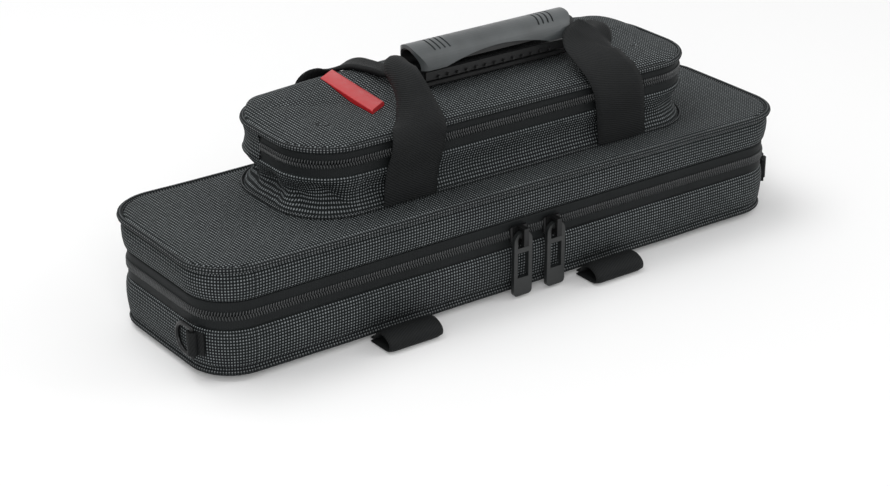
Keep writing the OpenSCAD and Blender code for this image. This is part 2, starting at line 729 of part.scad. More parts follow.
module peg_row(z, y, shift, dir) for (i = [0:peg_count - 1])
    translate([grip_x + (i - (peg_count - 1) / 2 + shift) * (grip_l - 28) / peg_count, y, z])
        rotate(dir) cylinder(d = 2, h = peg_l, $fn = 16);

// Inner shell that closes the bottom of the grip and ends in a lip in front
module grip_liner() color(tape_black) {
    along_grip(grip_l - 2 * liner_inset, 9) polygon(concat(
        arc([grip_y, grip_z], liner_r - 0.06, mouth_top - mouth_step, shell_end, 30),
        arc([grip_y, grip_z], grip_r, shell_end - 0.5, -90, 10),
        [[lip_y + 1, grip_z - grip_r], [lip_y, grip_z - grip_r + 1], [lip_y, lip_top - 0.4],
            [lip_y + 0.6, lip_top], [grip_y, lip_top]],
        arc([grip_y, grip_z], liner_r - liner_t, lip_end, mouth_top - mouth_step, 30)));
    peg_row(grip_z + 3.2 - peg_l, grip_y - liner_r + 1.6, 0.25, [0, 0, 0]);
}

core_t = 2.2;
core_inset = 7;

// Inner bar with pegs, carried by the front strap where the grip is open
module grip_core() color(tape_black) {
    y = front_bundle[0] - bundle_d / 2 - core_t / 2;
    translate([grip_x, y, front_bundle[1]])
        cube([grip_l - 2 * core_inset, core_t, bundle_h], center = true);
    peg_row(front_bundle[1] - 1.1, y - core_t / 2, -0.25, [90, 0, 0]);
}

// ---- Show -----------------------------------------------------------------------------------

base_shell();
bottom_piping();
base_zip_tape();
base_zip_coil();
hinge_strip_lower();
flute_bed();
bottom_loop_left();
bottom_loop_right();
ring_tab_left();
ring_tab_right();
d_ring_left();
d_ring_right();
slider_left();
slider_right();
pull_left();
pull_right();
lid_shell();
lid_pad();
lid_piping();
lid_zip_tape();
lid_zip_coil();
hinge_strip_upper();
pouch_wall();
pouch_seam();
pouch_zip_tape();
pouch_zip_coil();
flap_panel();
flap_piping();
flap_zip_tape();
flap_zip_coil();
flap_badge();
pouch_slider();
pouch_pull();
front_strap();
grip_core();
rear_strap();
grip_cover();
grip_liner();
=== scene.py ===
"""Zipped flute case with a pouch, a webbing handle, D-rings and bottom loops.

The CAD bodies are the frame; this script dresses them in cloth, plush, webbing and zips, and
gives the hard pieces their finish.
Sizes are in millimetres in the frame of the CAD, and become metres when a mesh is made.
"""

import math

import bmesh
import bpy
import numpy as np
from mathutils import Matrix, Vector, noise


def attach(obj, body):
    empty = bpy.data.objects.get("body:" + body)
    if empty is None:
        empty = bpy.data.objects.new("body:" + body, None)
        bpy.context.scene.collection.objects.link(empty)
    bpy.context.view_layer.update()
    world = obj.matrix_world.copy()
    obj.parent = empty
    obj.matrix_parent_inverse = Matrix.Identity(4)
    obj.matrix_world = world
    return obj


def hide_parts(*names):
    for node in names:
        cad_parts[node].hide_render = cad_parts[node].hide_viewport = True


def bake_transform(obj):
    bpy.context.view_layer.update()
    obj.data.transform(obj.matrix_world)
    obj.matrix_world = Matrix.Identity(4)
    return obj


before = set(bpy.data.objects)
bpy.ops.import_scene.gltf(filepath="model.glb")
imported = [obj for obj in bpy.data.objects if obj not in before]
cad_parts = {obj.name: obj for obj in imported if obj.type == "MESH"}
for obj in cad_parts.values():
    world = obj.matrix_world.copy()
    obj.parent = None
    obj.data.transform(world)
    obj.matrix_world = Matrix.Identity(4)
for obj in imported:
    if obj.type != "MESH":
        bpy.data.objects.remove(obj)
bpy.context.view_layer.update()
MM = 0.001
# The soft shifts of the cloth are the same at each run
noise.seed_set(5)

# ---- Sizes, as in the CAD ---------------------------------------------------------------------

CASE_L, CASE_W, CASE_H, CORNER_R = 440.0, 128.0, 72.0, 32.0
WALL, SPLIT_Z, TAPE_W = 5.0, 41.0, 18.4
WALL_INSET, TAPE_INSET, INNER_IN = 2.4, 4.4, 9.4
PIPING_D, FOOT_PIPING_D = 4.2, 3.4
TAPE_LOW, TAPE_HIGH = SPLIT_Z - TAPE_W / 2, SPLIT_Z + TAPE_W / 2
FOOT_ROUND = 10.0
REAR_Y = CASE_W / 2

POUCH_L, POUCH_W, POUCH_R = 302.0, 100.0, 36.0
POUCH_X, POUCH_Y = 12.0, 9.5
POUCH_SPLIT, POUCH_TAPE_LOW, POUCH_TAPE_IN = 105.2, 95.8, 3.0
POUCH_FRONT = POUCH_Y - POUCH_W / 2
ZIP_REACH = 57.0
BADGE_X, BADGE_W = -67.0, 13.5
FLAP_EDGE_Z, FLAP_UNDER = 115.4, 111.6
POUCH_PIPING_D = 3.8

WEB_W, WEB_T = 38.0, 2.2
GRIP_X, GRIP_Y, GRIP_Z, GRIP_L = 24.0, 8.0, 135.0, 120.0
STRAP_X = (-65.0, 93.0)
FRONT_FACE, BACK_FACE = -42.2, 61.0
LOOP_X = (-112.0, 43.0)
LOOP_D, LOOP_H = 18.0, 11.0

# ---- Sizes of the scene's own -----------------------------------------------------------------

# Each tape stops this far from the split, out of reach of the teeth of the other half
HALF_GAP = 0.6
# How far outside the outline the tapes stand (below zero is inside), how much the case's tapes
# stay within their solids, and how far the pouch's tapes reach into the cloth next to them
CASE_TAPE_D, POUCH_TAPE_D = -4.5, -2.1
TAPE_TRIM, SEWN_IN = 0.6, 0.6
# Teeth: their spacing, the height of a row from the split, half the size of one along the zip,
# outwards and upwards, and how much it leans
TOOTH_PITCH, TOOTH_Z = 1.75, 1.25
TOOTH_HALF, TOOTH_LEAN = (0.5, 1.0, 1.75), 0.35
# The webbing starts just above the cord round the foot of the pouch
STRAP_FOOT_Z = 74.0
# Front and rear end of the badge
BADGE_Y = (-10.5, 53.5)

# ---- Meshes -----------------------------------------------------------------------------------


def make(name, verts, faces, uvs=None, mats=(), face_mats=None, body=None):
    """A mesh object from points in millimetres, with one UV pair for each face corner."""
    mesh = bpy.data.meshes.new(name)
    mesh.from_pydata([tuple(c * MM for c in v) for v in verts], [], faces)
    for m in mats:
        mesh.materials.append(m)
    if uvs is not None:
        layer = mesh.uv_layers.new(name="cloth")
        layer.data.foreach_set("uv", (np.array(uvs, np.float32) * MM).ravel())
    if face_mats is not None:
        mesh.polygons.foreach_set("material_index", face_mats)
    mesh.polygons.foreach_set("use_smooth", [True] * len(mesh.polygons))
    mesh.update()
    obj = bpy.data.objects.new(name, mesh)
    bpy.context.scene.collection.objects.link(obj)
    if body:
        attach(obj, body)
    return obj


def soften(x, y, z, amount=0.6, size=45.0):
    """A smooth random shift, the same at each run, for cloth that isn't quite flat."""
    p = Vector((x, y, z)) / size
    return Vector(noise.noise_vector(p)) * amount


def outline(l, w, r, cx=0.0, cy=0.0, step=9.0, corner=12):
    """Stations round a rectangle with round corners, anticlockwise from the front left:
    (x, y, outward x, outward y, distance run)."""
    out, run = [], 0.0
    sides = [(l - 2 * r, 0, (0, -1)), (w - 2 * r, 90, (1, 0)), (l - 2 * r, 180, (0, 1)),
             (w - 2 * r, 270, (-1, 0))]
    corners = [(l / 2 - r, -w / 2 + r), (l / 2 - r, w / 2 - r), (-l / 2 + r, w / 2 - r),
               (-l / 2 + r, -w / 2 + r)]
    for k, (length, heading, normal) in enumerate(sides):
        a = math.radians(heading)
        ux, uy = math.cos(a), math.sin(a)
        end = corners[k]
        px, py = end[0] + normal[0] * r, end[1] + normal[1] * r
        n = max(1, round(length / step))
        for i in range(n):
            back = length * (1 - i / n)
            out.append((cx + px - ux * back, cy + py - uy * back, *normal, run + length - back))
        run += length
        for i in range(corner):
            b = math.radians(heading - 90 + 90 * i / corner)
            nx, ny = math.cos(b), math.sin(b)
            out.append((cx + end[0] + nx * r, cy + end[1] + ny * r, nx, ny,
                        run + r * math.pi / 2 * i / corner))
        run += r * math.pi / 2
    return out, run


def stretch(stations, total, keep):
    """The stations for which keep(x, y) holds, in one unbroken run."""
    flags = [keep(s[0], s[1]) for s in stations]
    n = len(stations)
    first = next(i for i in range(n) if flags[i] and not flags[i - 1])
    out = []
    for k in range(n):
        i = (first + k) % n
        if not flags[i]:
            break
        s = stations[i]
        out.append((*s[:4], s[4] + (total if first + k >= n else 0)))
    return out


def sweep(stations, total, profile, planar=(), close=True, lift=None, tag=None):
    """Runs a profile of (distance outside the outline, height) along the stations.
    Returns points, faces, UVs and a tag for each face."""
    n, m = len(stations), len(profile)
    verts, faces, uvs, tags = [], [], [], []
    along = [0.0]
    for a, b in zip(profile, profile[1:]):
        along.append(along[-1] + math.hypot(b[0] - a[0], b[1] - a[1]))
    for x, y, nx, ny, s in stations:
        for j, (d, z) in enumerate(profile):
            p = Vector((x + nx * d, y + ny * d, z))
            if lift:
                p += lift(p, Vector((nx, ny, 0)), d)
            verts.append(tuple(p))
    for i in range(n if close else n - 1):
        k = (i + 1) % n
        s0 = stations[i][4]
        s1 = stations[k][4] if k else total
        for j in range(m - 1):
            a, b, c, d = i * m + j, k * m + j, k * m + j + 1, i * m + j + 1
            faces.append([a, b, c, d])
            if j in planar:
                uvs += [verts[q][:2] for q in (a, b, c, d)]
            else:
                uvs += [(s0, along[j]), (s1, along[j]), (s1, along[j + 1]), (s0, along[j + 1])]
            tags.append(tag(j) if tag else 0)
    return verts, faces, uvs, tags


def fill(skin, stations, l, w, r, height, up, tag=0, cx=0.0, cy=0.0):
    """Adds the middle of a panel to a swept skin: a grid between the inner ends of its profile."""
    verts, faces, uvs, tags = skin
    xs = sorted({round(s[0], 4) for s in stations if s[3] == -1 and s[2] == 0}
                | {round(cx + l / 2 - r, 4)})
    ys = sorted({round(s[1], 4) for s in stations if s[2] == 1 and s[3] == 0}
                | {round(cy + w / 2 - r, 4)})
    first, n = len(verts), len(ys)
    verts += [(x, y, height(x, y)) for x in xs for y in ys]
    for i in range(len(xs) - 1):
        for j in range(n - 1):
            a = first + i * n + j
            q = [a, a + n, a + n + 1, a + 1]
            if not up:
                q.reverse()
            faces.append(q)
            uvs += [verts[k][:2] for k in q]
            tags.append(tag)


def weld(obj, distance):
    """Joins points that lie on each other, so that the cloth is one surface."""
    bm = bmesh.new()
    bm.from_mesh(obj.data)
    bmesh.ops.remove_doubles(bm, verts=bm.verts, dist=distance * MM)
    bmesh.ops.dissolve_degenerate(bm, dist=distance * MM / 4, edges=bm.edges)
    bmesh.ops.recalc_face_normals(bm, faces=bm.faces)
    bm.to_mesh(obj.data)
    bm.free()
    obj.data.polygons.foreach_set("use_smooth", [True] * len(obj.data.polygons))
    return obj


def bevelled(obj, width):
    """Rounds the sharp edges of a piece."""
    mod = obj.modifiers.new("round", "BEVEL")
    mod.width = width * MM
    mod.segments = 2
    mod.limit_method = "ANGLE"
    mod.angle_limit = math.radians(35)
    mod.harden_normals = True


def puff(obj, free, cap, pressure=4.0, frames=20):
    """Blows a padded piece up as cloth with air in it. A point where free(x, y, z) is 0 or less
    is held, one where it is 1 or more moves by up to the cap, and one between by a part of it."""
    held = obj.vertex_groups.new(name="held")
    start = [v.co.copy() for v in obj.data.vertices]
    share = [free(*(c / MM for c in co)) for co in start]
    for i, value in enumerate(share):
        held.add([i], 1.0 if value <= 0 else 0.0, "REPLACE")
    cloth = obj.modifiers.new("cloth", "CLOTH")
    cloth.settings.quality = 6
    cloth.settings.mass = 0.15
    cloth.settings.tension_stiffness = 12
    cloth.settings.compression_stiffness = 12
    cloth.settings.shear_stiffness = 4
    cloth.settings.bending_stiffness = 0.4
    cloth.settings.use_pressure = True
    cloth.settings.uniform_pressure_force = pressure
    cloth.settings.vertex_group_mass = "held"
    cloth.settings.effector_weights.gravity = 0
    cloth.point_cache.frame_start, cloth.point_cache.frame_end = 1, frames
    scene = bpy.context.scene
    for f in range(1, frames + 1):
        scene.frame_set(f)
    result = obj.evaluated_get(bpy.context.evaluated_depsgraph_get())
    moved = [v.co.copy() for v in result.data.vertices]
    obj.modifiers.remove(cloth)
    obj.vertex_groups.remove(held)
    scene.frame_set(1)
    for v, a, b, value in zip(obj.data.vertices, start, moved, share):
        step = b - a
        limit = cap * MM * max(0.0, min(1.0, value))
        v.co = a + (step * (limit / step.length) if step.length > limit else step)
    obj.data.update()


# ---- Materials --------------------------------------------------------------------------------


class Shader:
    """A material being built: most methods add a node and return its output."""

    def __init__(self, name, **settings):
        self.mat = bpy.data.materials.new(name)
        self.mat.use_nodes = True
        self.tree = self.mat.node_tree
        self.bsdf = self.tree.nodes["Principled BSDF"]
        for key, value in settings.items():
            self.bsdf.inputs[key].default_value = value

    def node(self, kind, **settings):
        n = self.tree.nodes.new(kind)
        for key, value in settings.items():
            setattr(n, key, value)
        return n

    def link(self, out, socket):
        self.tree.links.new(out, socket)

    def put(self, value, socket):
        if isinstance(value, bpy.types.NodeSocket):
            self.link(value, socket)
        else:
            socket.default_value = value

    def math(self, op, a, b=0.0, c=0.0):
        n = self.node("ShaderNodeMath", operation=op)
        for v, s in zip((a, b, c), n.inputs):
            self.put(v, s)
        return n.outputs[0]

    def uv(self):
        n = self.node("ShaderNodeSeparateXYZ")
        self.link(self.node("ShaderNodeUVMap", uv_map="cloth").outputs[0], n.inputs[0])
        return n.outputs[0], n.outputs[1]

    def point(self):
        return self.node("ShaderNodeTexCoord").outputs["Object"]

    def noise(self, scale, detail=3.0):
        n = self.node("ShaderNodeTexNoise")
        self.link(self.point(), n.inputs["Vector"])
        n.inputs["Scale"].default_value = scale
        n.inputs["Detail"].default_value = detail
        n.inputs["Roughness"].default_value = 0.55
        return n.outputs[0]

    def span(self, value, a, b, c=0.0, d=1.0, smooth=False):
        n = self.node("ShaderNodeMapRange",
                      interpolation_type="SMOOTHSTEP" if smooth else "LINEAR")
        self.put(value, n.inputs[0])
        for v, s in zip((a, b, c, d), list(n.inputs)[1:5]):
            self.put(v, s)
        return n.outputs[0]

    def mix(self, share, a, b):
        n = self.node("ShaderNodeMix", data_type="RGBA")
        self.put(share, n.inputs[0])
        for v, s in ((a, n.inputs[6]), (b, n.inputs[7])):
            self.put((*v, 1.0) if isinstance(v, tuple) else v, s)
        return n.outputs[2]

    def colour(self, out):
        self.link(out, self.bsdf.inputs["Base Color"])

    def bump(self, height, depth, strength=1.0):
        n = self.node("ShaderNodeBump")
        n.inputs["Strength"].default_value = strength
        n.inputs["Distance"].default_value = depth * MM
        self.link(height, n.inputs["Height"])
        self.link(n.outputs[0], self.bsdf.inputs["Normal"])


DARK, LIGHT = (0.0052, 0.0068, 0.0073), (0.235, 0.255, 0.262)


def toned(colour, share):
    """A colour made darker or lighter."""
    return tuple(c * share for c in colour)


def dotted(name, pitch=1.95, light=LIGHT, size=0.36):
    """Two-tone cloth: light raised dots of yarn in rows on a dark ground."""
    s = Shader(name, Roughness=0.78)
    s.bsdf.inputs["Specular IOR Level"].default_value = 0.14
    u, v = s.uv()
    cell = [s.math("SUBTRACT", s.math("FRACT", s.math("DIVIDE", q, pitch * MM)), 0.5)
            for q in (u, v)]
    radius = s.math("SQRT", s.math("ADD", s.math("POWER", cell[0], 2.0),
                                   s.math("POWER", cell[1], 2.0)))
    dot = s.span(radius, size, size - 0.2, smooth=True)
    worn = s.span(s.noise(420.0, 2.0), 0.3, 0.7, 0.55, 1.0)
    broad = s.span(s.noise(14.0, 3.0), 0.3, 0.7, 0.8, 1.1)
    share = s.math("MULTIPLY", s.math("MULTIPLY", dot, worn), broad)
    s.colour(s.mix(share, DARK, light))
    s.bump(s.math("ADD", dot, s.math("MULTIPLY", s.noise(900.0, 2.0), 0.35)), 0.22, 0.7)
    return s.mat


def ribbed(name, colour, pitch, across=False, depth=0.12, rough=0.6, twill=0.0, gloss=0.12):
    """Close ribs of woven tape or webbing, with painted shade in the grooves and painted light on
    the crests of the ribs, and a faint change of tone from yarn to yarn.
    """
    s = Shader(name, Roughness=rough)
    s.bsdf.inputs["Specular IOR Level"].default_value = gloss
    u, v = s.uv()
    main, other = (u, v) if across else (v, u)
    phase = s.math("DIVIDE", main, pitch * MM)
    if twill:
        phase = s.math("ADD", phase, s.math("DIVIDE", other, twill * MM))
    rib = s.math("ABSOLUTE", s.math("SINE", s.math("MULTIPLY", phase, math.pi)))
    yarn = s.math("ABSOLUTE", s.math("SINE", s.math("MULTIPLY", s.math(
        "DIVIDE", other, 0.8 * MM), math.pi)))
    # Painted shade and light: the colour follows the ribs, darker in the grooves and lighter on
    # the crests, times a random tone from yarn to yarn
    groove_shade_and_tone = s.math("MULTIPLY", s.span(rib, 0.0, 1.0, 0.62, 1.12),
                  s.span(s.noise(60.0, 3.0), 0.3, 0.7, 0.86, 1.1))
    s.colour(s.mix(s.span(groove_shade_and_tone, 0.5, 1.25), toned(colour, 0.6), toned(colour, 1.5)))
    s.bump(s.math("ADD", rib, s.math("MULTIPLY", yarn, 0.4)), depth)
    return s.mat


def plush(name, colour):
    """Short pile, with the tone changing where the pile lies another way."""
    s = Shader(name, Roughness=0.95)
    s.bsdf.inputs["Specular IOR Level"].default_value = 0.1
    s.bsdf.inputs["Sheen Weight"].default_value = 0.12
    s.bsdf.inputs["Sheen Roughness"].default_value = 0.35
    lay = s.span(s.noise(22.0, 4.0), 0.35, 0.65)
    fine = s.noise(1500.0, 2.0)
    s.colour(s.mix(s.math("MULTIPLY", s.math("ADD", lay, fine), 0.5), toned(colour, 0.6),
                   toned(colour, 1.5)))
    s.bump(fine, 0.3)
    return s.mat


def moulded(name, colour, rough=0.42, grain=0.03, coat=0.0, wear=0.25):
    """Moulded plastic or rubber with a fine grain and slightly polished wear."""
    s = Shader(name)
    s.bsdf.inputs["Coat Weight"].default_value = coat
    s.bsdf.inputs["Coat Roughness"].default_value = 0.2
    patch = s.span(s.noise(35.0, 4.0), 0.3, 0.7)
    s.colour(s.mix(patch, toned(colour, 1 - wear), toned(colour, 1 + wear)))
    s.link(s.span(s.noise(180.0, 3.0), 0.3, 0.7, rough - 0.06, rough + 0.08),
           s.bsdf.inputs["Roughness"])
    s.bump(s.noise(2600.0, 2.0), grain)
    return s.mat


def enamelled(name, colour, rough=0.35):
    """Black satin finish on cast or bent metal."""
    s = Shader(name, Metallic=0.75)
    s.colour(s.mix(s.span(s.noise(90.0, 4.0), 0.4, 0.7), colour, toned(colour, 1.6)))
    s.link(s.span(s.noise(240.0, 3.0), 0.3, 0.7, rough - 0.05, rough + 0.1),
           s.bsdf.inputs["Roughness"])
    s.bump(s.noise(1400.0, 2.0), 0.02)
    return s.mat


M_BODY = dotted("body_cloth")
M_PIPE = dotted("piping_cloth", pitch=1.95, light=(0.2, 0.21, 0.215), size=0.33)
M_TAPE = ribbed("zip_tape_weave", (0.0085, 0.0098, 0.0102), 1.1, across=True, depth=0.05)
M_WEB = ribbed("webbing_weave", (0.0075, 0.0082, 0.0085), 1.5, depth=0.16, twill=3.0)
M_LINING = ribbed("lining_weave", (0.012, 0.0125, 0.013), 0.7, depth=0.04)
M_PLUSH = plush("plush_pile", (0.026, 0.0265, 0.029))
M_COIL = moulded("coil_plastic", (0.026, 0.028, 0.029), 0.34, 0.01)
M_PULL = moulded("pull_plastic", (0.0105, 0.012, 0.0122), 0.42)
M_SLIDER = enamelled("slider_enamel", (0.016, 0.0165, 0.017))
M_RING = enamelled("ring_enamel", (0.014, 0.0145, 0.015), 0.3)
M_GRIP = moulded("grip_satin", (0.055, 0.061, 0.063), 0.36, 0.03)
M_RUBBER = moulded("grip_rubber", (0.006, 0.0063, 0.0066), 0.5, 0.04)
M_BADGE = moulded("badge_plastic", (0.4, 0.006, 0.01), 0.38, 0.006, coat=0.15, wear=0.03)

# ---- Case base and lid ------------------------------------------------------------------------

CASE, CASE_RUN = outline(CASE_L, CASE_W, CORNER_R)


def arc(cx, cz, r, a0, a1, n):
    """Points on an arc in the profile plane."""
    return [(cx + r * math.cos(math.radians(a0 + (a1 - a0) * i / n)),
             cz + r * math.sin(math.radians(a0 + (a1 - a0) * i / n))) for i in range(n + 1)]


def cloth_shift(p, n, d):
    """Small waves of the padded walls: outwards near the edge and in height, none near the zip."""
    calm = min(1.0, abs(p.z - SPLIT_Z) / 14.0)
    wall = max(0.0, min(1.0, (d + 24) / 12.0))
    wave = soften(p.x, p.y, p.z)
    return n * wave.x * 0.9 * calm * wall + Vector((0, 0, wave.z * 0.45 * calm))


def panel_height(base):
    """Height of a panel that is a little uneven."""
    return lambda x, y: base + soften(x, y, base).z * 0.45


def shell(name, profile, planar, z_start, z_end, outer_up, body, nodes, lining_from):
    """A padded shell: outer cloth, edge at the zip and lining, all one surface. The profile
    starts at the outer panel, at z_start, and ends at the lining of that panel, at z_end."""
    skin = sweep(CASE, CASE_RUN, profile, planar=planar, lift=cloth_shift,
                 tag=lambda j: 1 if j >= lining_from else 0)
    for z, up, tag in ((z_start, outer_up, 0), (z_end, not outer_up, 1)):
        fill(skin, CASE, CASE_L, CASE_W, CORNER_R, panel_height(z), up, tag)
    verts, faces, uvs, tags = skin
    obj = make(name, verts, faces, uvs, (M_BODY, M_LINING), tags)
    weld(obj, 0.5)
    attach(obj, body)
    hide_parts(*nodes)


base_profile = (
    [(-CORNER_R, 0), (-23, 0)] + arc(-14.4, FOOT_ROUND, FOOT_ROUND, 270, 338, 7)
    + [(-5.5, 8.4), (-4.1, 9.6), (-3.3, 16), (-2.9, 21), (-3.0, 26), (-3.5, 29.6), (-4.3, 31.4),
       (-5.2, 31.9), (-5.6, 33), (-5.6, 40.2), (-6.0, 40.8), (-8.8, 40.8), (-9.4, 40.0),
       (-9.4, 12)] + arc(-12.4, 8, 3, 0, -90, 3) + [(-22, 5), (-CORNER_R, 5)])
shell("base_cover", base_profile, (), 0, WALL, False, "base", ("base_shell",), lining_from=18)

lid_profile = (
    [(-CORNER_R, 72), (-26, 72), (-20, 72), (-14, 72), (-8, 71.9), (-5.2, 71.7), (-4.2, 70.9),
     (-3.4, 69.6), (-3.6, 67.6), (-2.5, 66.4), (-2.0, 62), (-2.3, 57), (-3.0, 53), (-3.8, 51),
     (-4.4, 50.4), (-5.3, 50.1), (-5.6, 49), (-5.6, 41.8), (-6.0, 41.2), (-8.8, 41.2),
     (-9.4, 42), (-9.4, 62)] + arc(-12.4, 64, 3, 0, 90, 3) + [(-22, 67), (-CORNER_R, 67)])
shell("lid_cover", lid_profile, range(7), CASE_H, CASE_H - WALL, True, "lid", ("lid_shell",),
      lining_from=17)


def tube_profile(d, z, diameter, n=10):
    """A closed ring of profile points for piping."""
    return [(d + diameter / 2 * math.cos(2 * math.pi * i / n),
             z + diameter / 2 * math.sin(2 * math.pi * i / n)) for i in range(n + 1)]


def piping(name, stations, total, d, z, diameter, body, nodes, lift=cloth_shift):
    """Cloth-covered cord sewn into a seam."""
    verts, faces, uvs, _ = sweep(stations, total, tube_profile(d, z, diameter), lift=lift)
    obj = make(name, verts, faces, uvs, (M_PIPE,))
    weld(obj, 0.01)
    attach(obj, body)
    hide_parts(*nodes)


piping("lid_edge_piping", CASE, CASE_RUN, -1.9, 70.3, PIPING_D - 0.5, "lid", ("lid_piping",))
piping("base_edge_piping", CASE, CASE_RUN, -5.4, 4.9, FOOT_PIPING_D, "base",
       ("bottom_piping",))

# ---- Zips -------------------------------------------------------------------------------------


def ribbon(name, stations, total, d, z0, z1, body, nodes, mat, thick=0.8, lift=None):
    """A flat strip that stands on edge along the outline, with two faces and open ends."""
    rows = 5
    outer = [(d, z0 + (z1 - z0) * i / rows) for i in range(rows + 1)]
    inner = [(d - thick, z) for _, z in reversed(outer)]
    verts, faces, uvs, _ = sweep(stations, total, outer + inner + outer[:1], close=False,
                                 lift=lift)
    obj = make(name, verts, faces, uvs, (mat,))
    weld(obj, 0.01)
    if body:
        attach(obj, body)
    if nodes:
        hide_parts(*nodes)
    return obj


def teeth(name, stations, d, split, side, body, nodes):
    """Teeth of one half of a coil zip, one small bean for each turn of the coil. The lower half
    has side -1; the upper half has side 1, and stands half a turn further along."""
    z = split + side * TOOTH_Z
    shift = TOOTH_PITCH / 2 if side > 0 else 0.0
    path = [(Vector((x + nx * d, y + ny * d, z)), Vector((nx, ny, 0)))
            for x, y, nx, ny, _ in stations]
    run = [0.0]
    for a, b in zip(path, path[1:]):
        run.append(run[-1] + (b[0] - a[0]).length)
    n_seg, n_ring = 6, 4
    bean = [(0.0, 0.0, 1.0)]
    for r in range(1, n_ring):
        for k in range(n_seg):
            t, f = math.pi * r / n_ring, 2 * math.pi * k / n_seg
            bean.append((math.sin(t) * math.cos(f), math.sin(t) * math.sin(f), math.cos(t)))
    bean.append((0.0, 0.0, -1.0))
    bean_faces = [(0, 1 + k, 1 + (k + 1) % n_seg) for k in range(n_seg)]
    for r in range(n_ring - 2):
        for k in range(n_seg):
            a, b = 1 + r * n_seg + k, 1 + r * n_seg + (k + 1) % n_seg
            bean_faces.append((a, a + n_seg, b + n_seg, b))
    last = len(bean) - 1
    bean_faces += [(last, last - n_seg + (k + 1) % n_seg, last - n_seg + k)
                   for k in range(n_seg)]
    verts, faces = [], []
    count = int((run[-1] - TOOTH_PITCH) / TOOTH_PITCH)
    i = 0
    for t in range(count):
        at = TOOTH_PITCH * (t + 0.5) + shift
        while i < len(run) - 2 and run[i + 1] < at:
            i += 1
        w = (at - run[i]) / (run[i + 1] - run[i])
        c = path[i][0].lerp(path[i + 1][0], w)
        n = path[i][1].lerp(path[i + 1][1], w).normalized()
        tangent = Vector((-n.y, n.x, 0))
        o = len(verts)
        for bx, by, bz in bean:
            lean = TOOTH_LEAN * side * bz
            p = (c + tangent * (bx * TOOTH_HALF[0] + lean) + n * (by * TOOTH_HALF[1])
                 + Vector((0, 0, bz * TOOTH_HALF[2])))
            verts.append(tuple(p))
        faces += [tuple(o + q for q in f) for f in bean_faces]
    obj = make(name, verts, faces, None, (M_COIL,), body=body)
    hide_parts(*nodes)


NOT_REAR = stretch(CASE, CASE_RUN, lambda x, y: y < REAR_Y - 0.01)
COIL_D = -TAPE_INSET + 0.15
ribbon("base_tape", NOT_REAR, CASE_RUN, CASE_TAPE_D, TAPE_LOW + TAPE_TRIM, SPLIT_Z - HALF_GAP,
       "base", ("base_zip_tape",), M_TAPE)
ribbon("lid_tape", NOT_REAR, CASE_RUN, CASE_TAPE_D, SPLIT_Z + HALF_GAP, TAPE_HIGH - TAPE_TRIM,
       "lid", ("lid_zip_tape",), M_TAPE)
teeth("base_teeth", NOT_REAR, COIL_D, SPLIT_Z, -1, "base", ("base_zip_coil",))
teeth("lid_teeth", NOT_REAR, COIL_D, SPLIT_Z, 1, "lid", ("lid_zip_coil",))

# Cloth strip behind, in one piece over both halves
REAR = stretch(CASE, CASE_RUN, lambda x, y: y > REAR_Y - 0.01)
rear_hinge = ribbon("rear_hinge_cloth", REAR, CASE_RUN, -4.4, TAPE_LOW - 0.4, TAPE_HIGH + 0.4,
                    None, ("hinge_strip_lower", "hinge_strip_upper"), M_BODY)
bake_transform(rear_hinge)

# ---- Bed and pad inside -----------------------------------------------------------------------

BED_TOP, TROUGH_FLOOR = SPLIT_Z - 3, SPLIT_Z - 29
TROUGHS = ((0.0, -26.0, 372.0, 34.0), (-73.0, 26.0, 226.0, 29.0), (121.0, 26.0, 130.0, 34.0))
SCOOPS = (-93.0, 124.0)
# The rims of the troughs and scoops slope over these widths
TROUGH_RIM, SCOOP_RIM = 2.0, 2.5
SCOOP_R, SCOOP_DEPTH = 13.5, 13.0


def bed_height(x, y):
    """Height of the flute bed: flat top, round troughs, finger scoops and soft edges."""
    z = BED_TOP + soften(x, y, 0, 0.5, 30).z * 0.4
    for cx, cy, l, w in TROUGHS:
        r = w / 2
        dy = abs(y - cy)
        dx = abs(x - cx) - l / 2
        if dy < r + TROUGH_RIM and dx < TROUGH_RIM:
            bowl = TROUGH_FLOOR + r - math.sqrt(max(0.0, r * r - min(dy, r) ** 2))
            edge = max(dy - r, dx)
            cut = bowl if edge < 0 else bowl + (z - bowl) * min(1.0, edge / TROUGH_RIM)
            z = min(z, cut)
    for cx in SCOOPS:
        d = math.hypot(x - cx, y)
        if d < SCOOP_R + SCOOP_RIM:
            up = max(0.0, (d - SCOOP_R) / SCOOP_RIM)
            z = min(z, BED_TOP - SCOOP_DEPTH + SCOOP_DEPTH * up)
    return z


